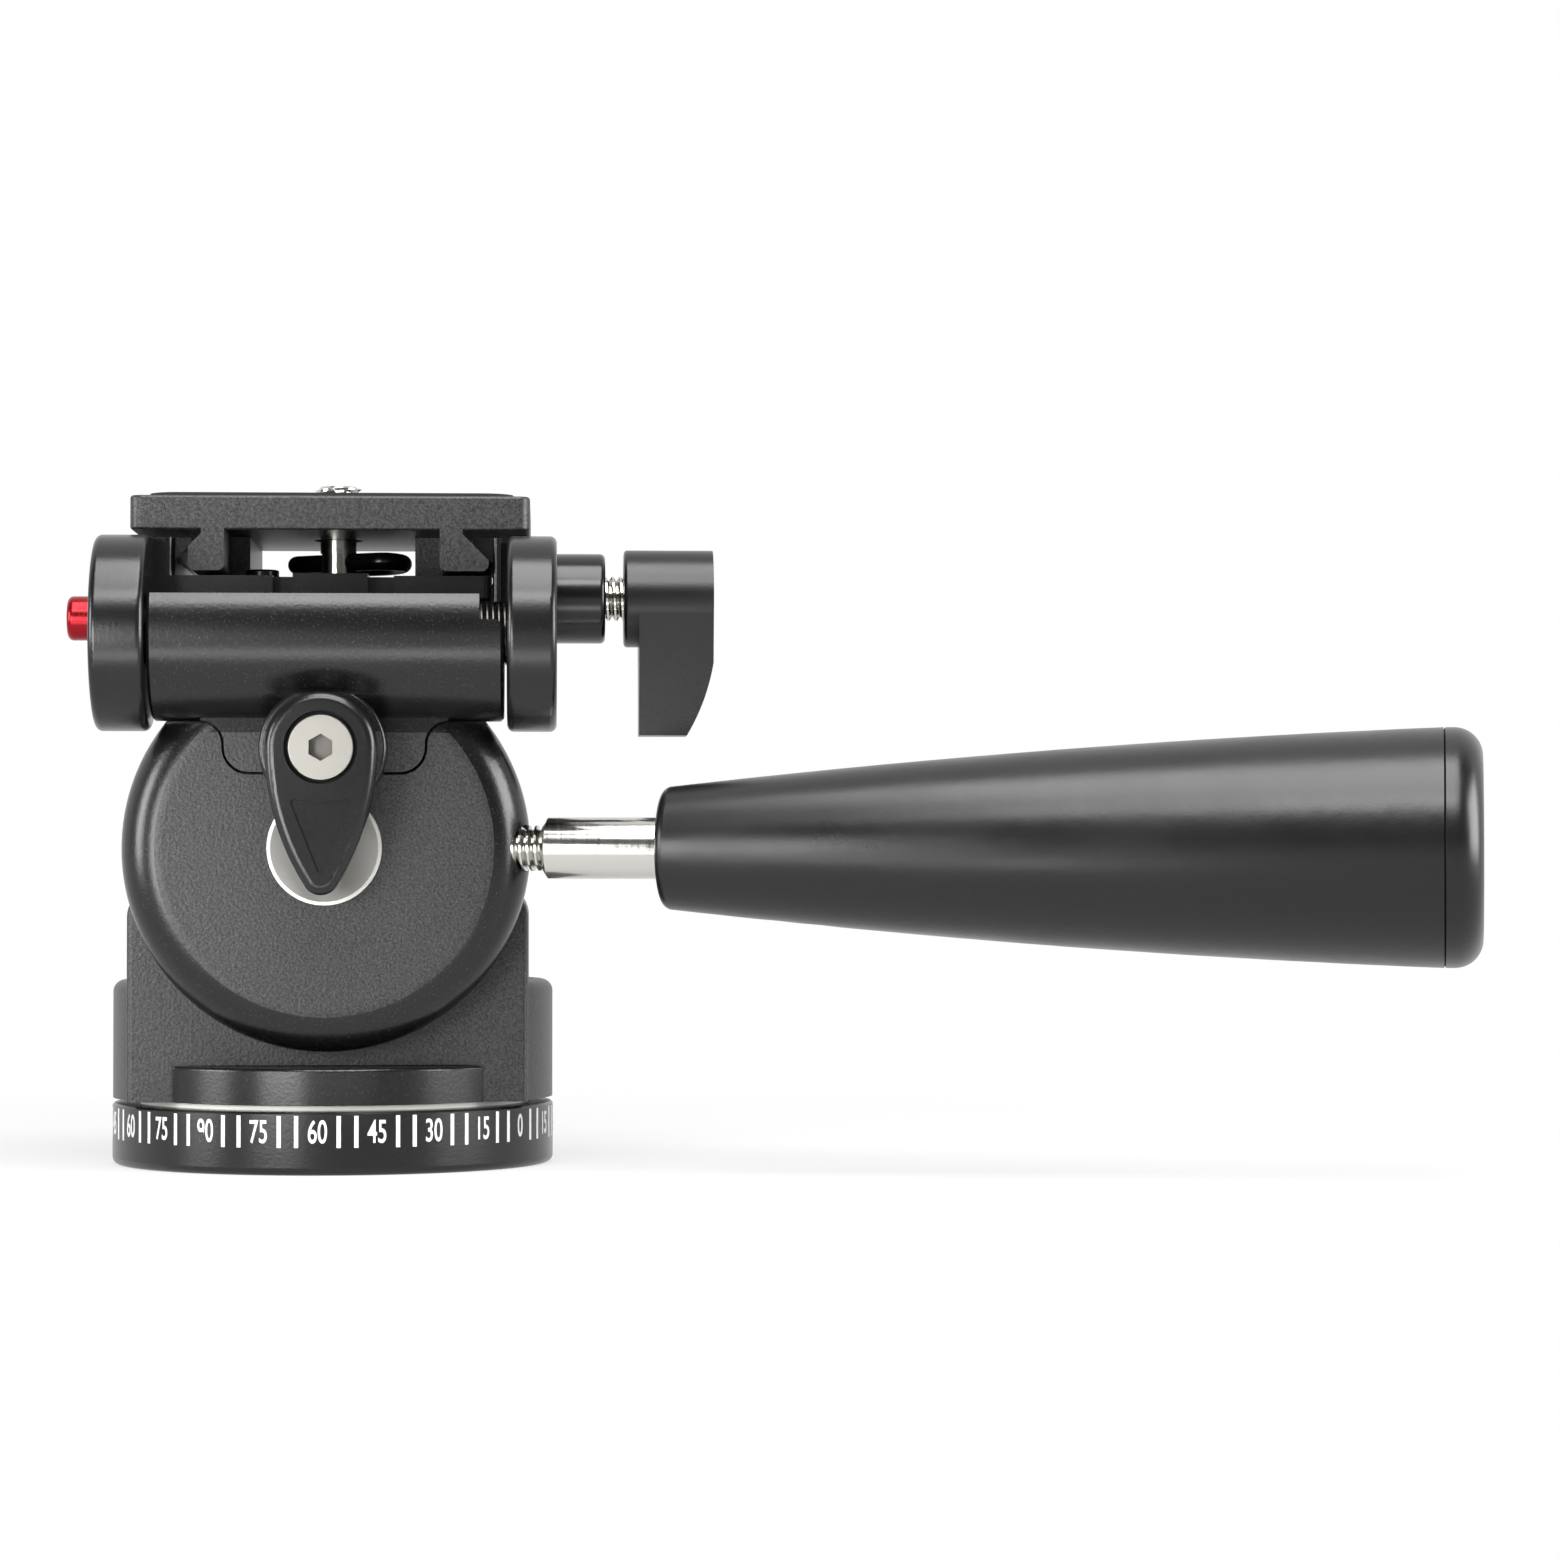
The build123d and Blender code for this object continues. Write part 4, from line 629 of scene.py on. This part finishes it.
# %% Floor, world and lights
white = "#ffffff"
floor_size, floor_drop = 6, 0.02 * MM
shadow_from, shadow_to = 0.07, 0.2
least_glow = 0.7
room_light = 0.1


def background_ray(tree):
    """1 for rays that should see the white background: direct, mirrored or through glass."""
    path = add_node(tree, "ShaderNodeLightPath").outputs
    either = add_node(tree, "ShaderNodeMath", {0: path["Is Camera Ray"], 1: path["Is Glossy Ray"]},
                      operation="MAXIMUM")
    return add_node(tree, "ShaderNodeMath", {0: either.outputs[0], 1: path["Is Transmission Ray"]},
                    operation="MAXIMUM").outputs[0]


def pale_floor():
    """A floor that keeps a soft shadow near the object and glows white further out."""
    floor_bm = bmesh.new()
    bmesh.ops.create_grid(floor_bm, x_segments=1, y_segments=1, size=floor_size)
    mesh = bpy.data.meshes.new("studio_floor")
    floor_bm.to_mesh(mesh)
    floor_bm.free()
    floor = bpy.data.objects.new("studio_floor", mesh)
    floor.location.z = -floor_drop
    bpy.context.scene.collection.objects.link(floor)
    material, tree, shader = new_material("pale_floor")
    shader.inputs["Base Color"].default_value = linear("#d4d4d4")
    shader.inputs["Roughness"].default_value = 0.9
    shader.inputs["Specular IOR Level"].default_value = 0.0
    place = add_node(tree, "ShaderNodeTexCoord").outputs["Object"]
    distance = add_node(tree, "ShaderNodeVectorMath", {0: place}, operation="LENGTH").outputs["Value"]
    share = add_node(tree, "ShaderNodeMapRange", {"Value": distance}, From_Min=shadow_from,
                     From_Max=shadow_to, To_Min=least_glow, To_Max=1.0).outputs["Result"]
    glow = add_node(tree, "ShaderNodeEmission", Color=linear(white), Strength=1.0)
    mix = add_node(tree, "ShaderNodeMixShader", {0: multiply(tree, share, background_ray(tree)),
                                                 1: shader.outputs[0], 2: glow.outputs[0]})
    tree.links.new(mix.outputs[0], tree.nodes["Material Output"].inputs["Surface"])
    mesh.materials.append(material)


def studio_world():
    """White all round to the camera, white behind the object in reflections, and dim otherwise."""
    world = bpy.data.worlds.new("studio")
    bpy.context.scene.world = world
    world.use_nodes = True
    tree = world.node_tree
    tree.nodes.clear()
    direction = add_node(tree, "ShaderNodeTexCoord").outputs["Generated"]
    axes = add_node(tree, "ShaderNodeSeparateXYZ", {"Vector": direction})
    behind = add_node(tree, "ShaderNodeMapRange", {"Value": axes.outputs["Y"]},
                      interpolation_type="SMOOTHSTEP", From_Min=-0.05, From_Max=0.3)
    room = add_node(tree, "ShaderNodeBackground", Color=linear(white), Strength=room_light)
    backdrop = add_node(tree, "ShaderNodeBackground", Color=linear(white), Strength=1.0)
    mirrored = multiply(tree, behind.outputs["Result"], background_ray(tree))
    direct = add_node(tree, "ShaderNodeLightPath").outputs["Is Camera Ray"]
    share = add_node(tree, "ShaderNodeMath", {0: mirrored, 1: direct}, operation="MAXIMUM")
    mix = add_node(tree, "ShaderNodeMixShader", {0: share.outputs[0], 1: room.outputs[0],
                                                 2: backdrop.outputs[0]})
    add_node(tree, "ShaderNodeOutputWorld", {"Surface": mix.outputs[0]})


def soft_box(name, place, target, width, height, radiance):
    """A rectangular soft light aimed at a point; the radiance is 1 for the white of the floor."""
    data = bpy.data.lights.new(name, "AREA")
    data.shape = "RECTANGLE"
    data.size = width
    data.size_y = height
    data.energy = radiance * math.pi * width * height
    lamp = bpy.data.objects.new(name, data)
    lamp.location = place
    lamp.rotation_euler = (Vector(target) - Vector(place)).to_track_quat("-Z", "Y").to_euler()
    lamp.visible_camera = False
    bpy.context.scene.collection.objects.link(lamp)


pale_floor()
studio_world()
head_middle = (0, -0.03, 0.05)
soft_box("box_above", (0.06, -0.19, 0.55), (0.06, -0.03, 0.06), 0.36, 0.36, 9)
soft_box("box_front_high", (0.03, -0.42, 0.42), (0.03, -0.03, 0.06), 0.34, 0.13, 13)
soft_box("box_front_left", (-0.105, -0.225, 0.05), (0, -0.03, 0.045), 0.10, 0.09, 13)
soft_box("box_left", (-0.46, -0.2, 0.13), (0, -0.03, 0.03), 0.16, 0.25, 15)
soft_box("box_right", (0.475, -0.165, 0.155), head_middle, 0.28, 0.28, 12)
soft_box("box_low", (-0.03, -0.155, 0.004), (-0.03, -0.1551, 0.5), 0.18, 0.06, 4)

# %% The view transform and the end
scene = bpy.context.scene
scene.view_settings.view_transform = "Standard"
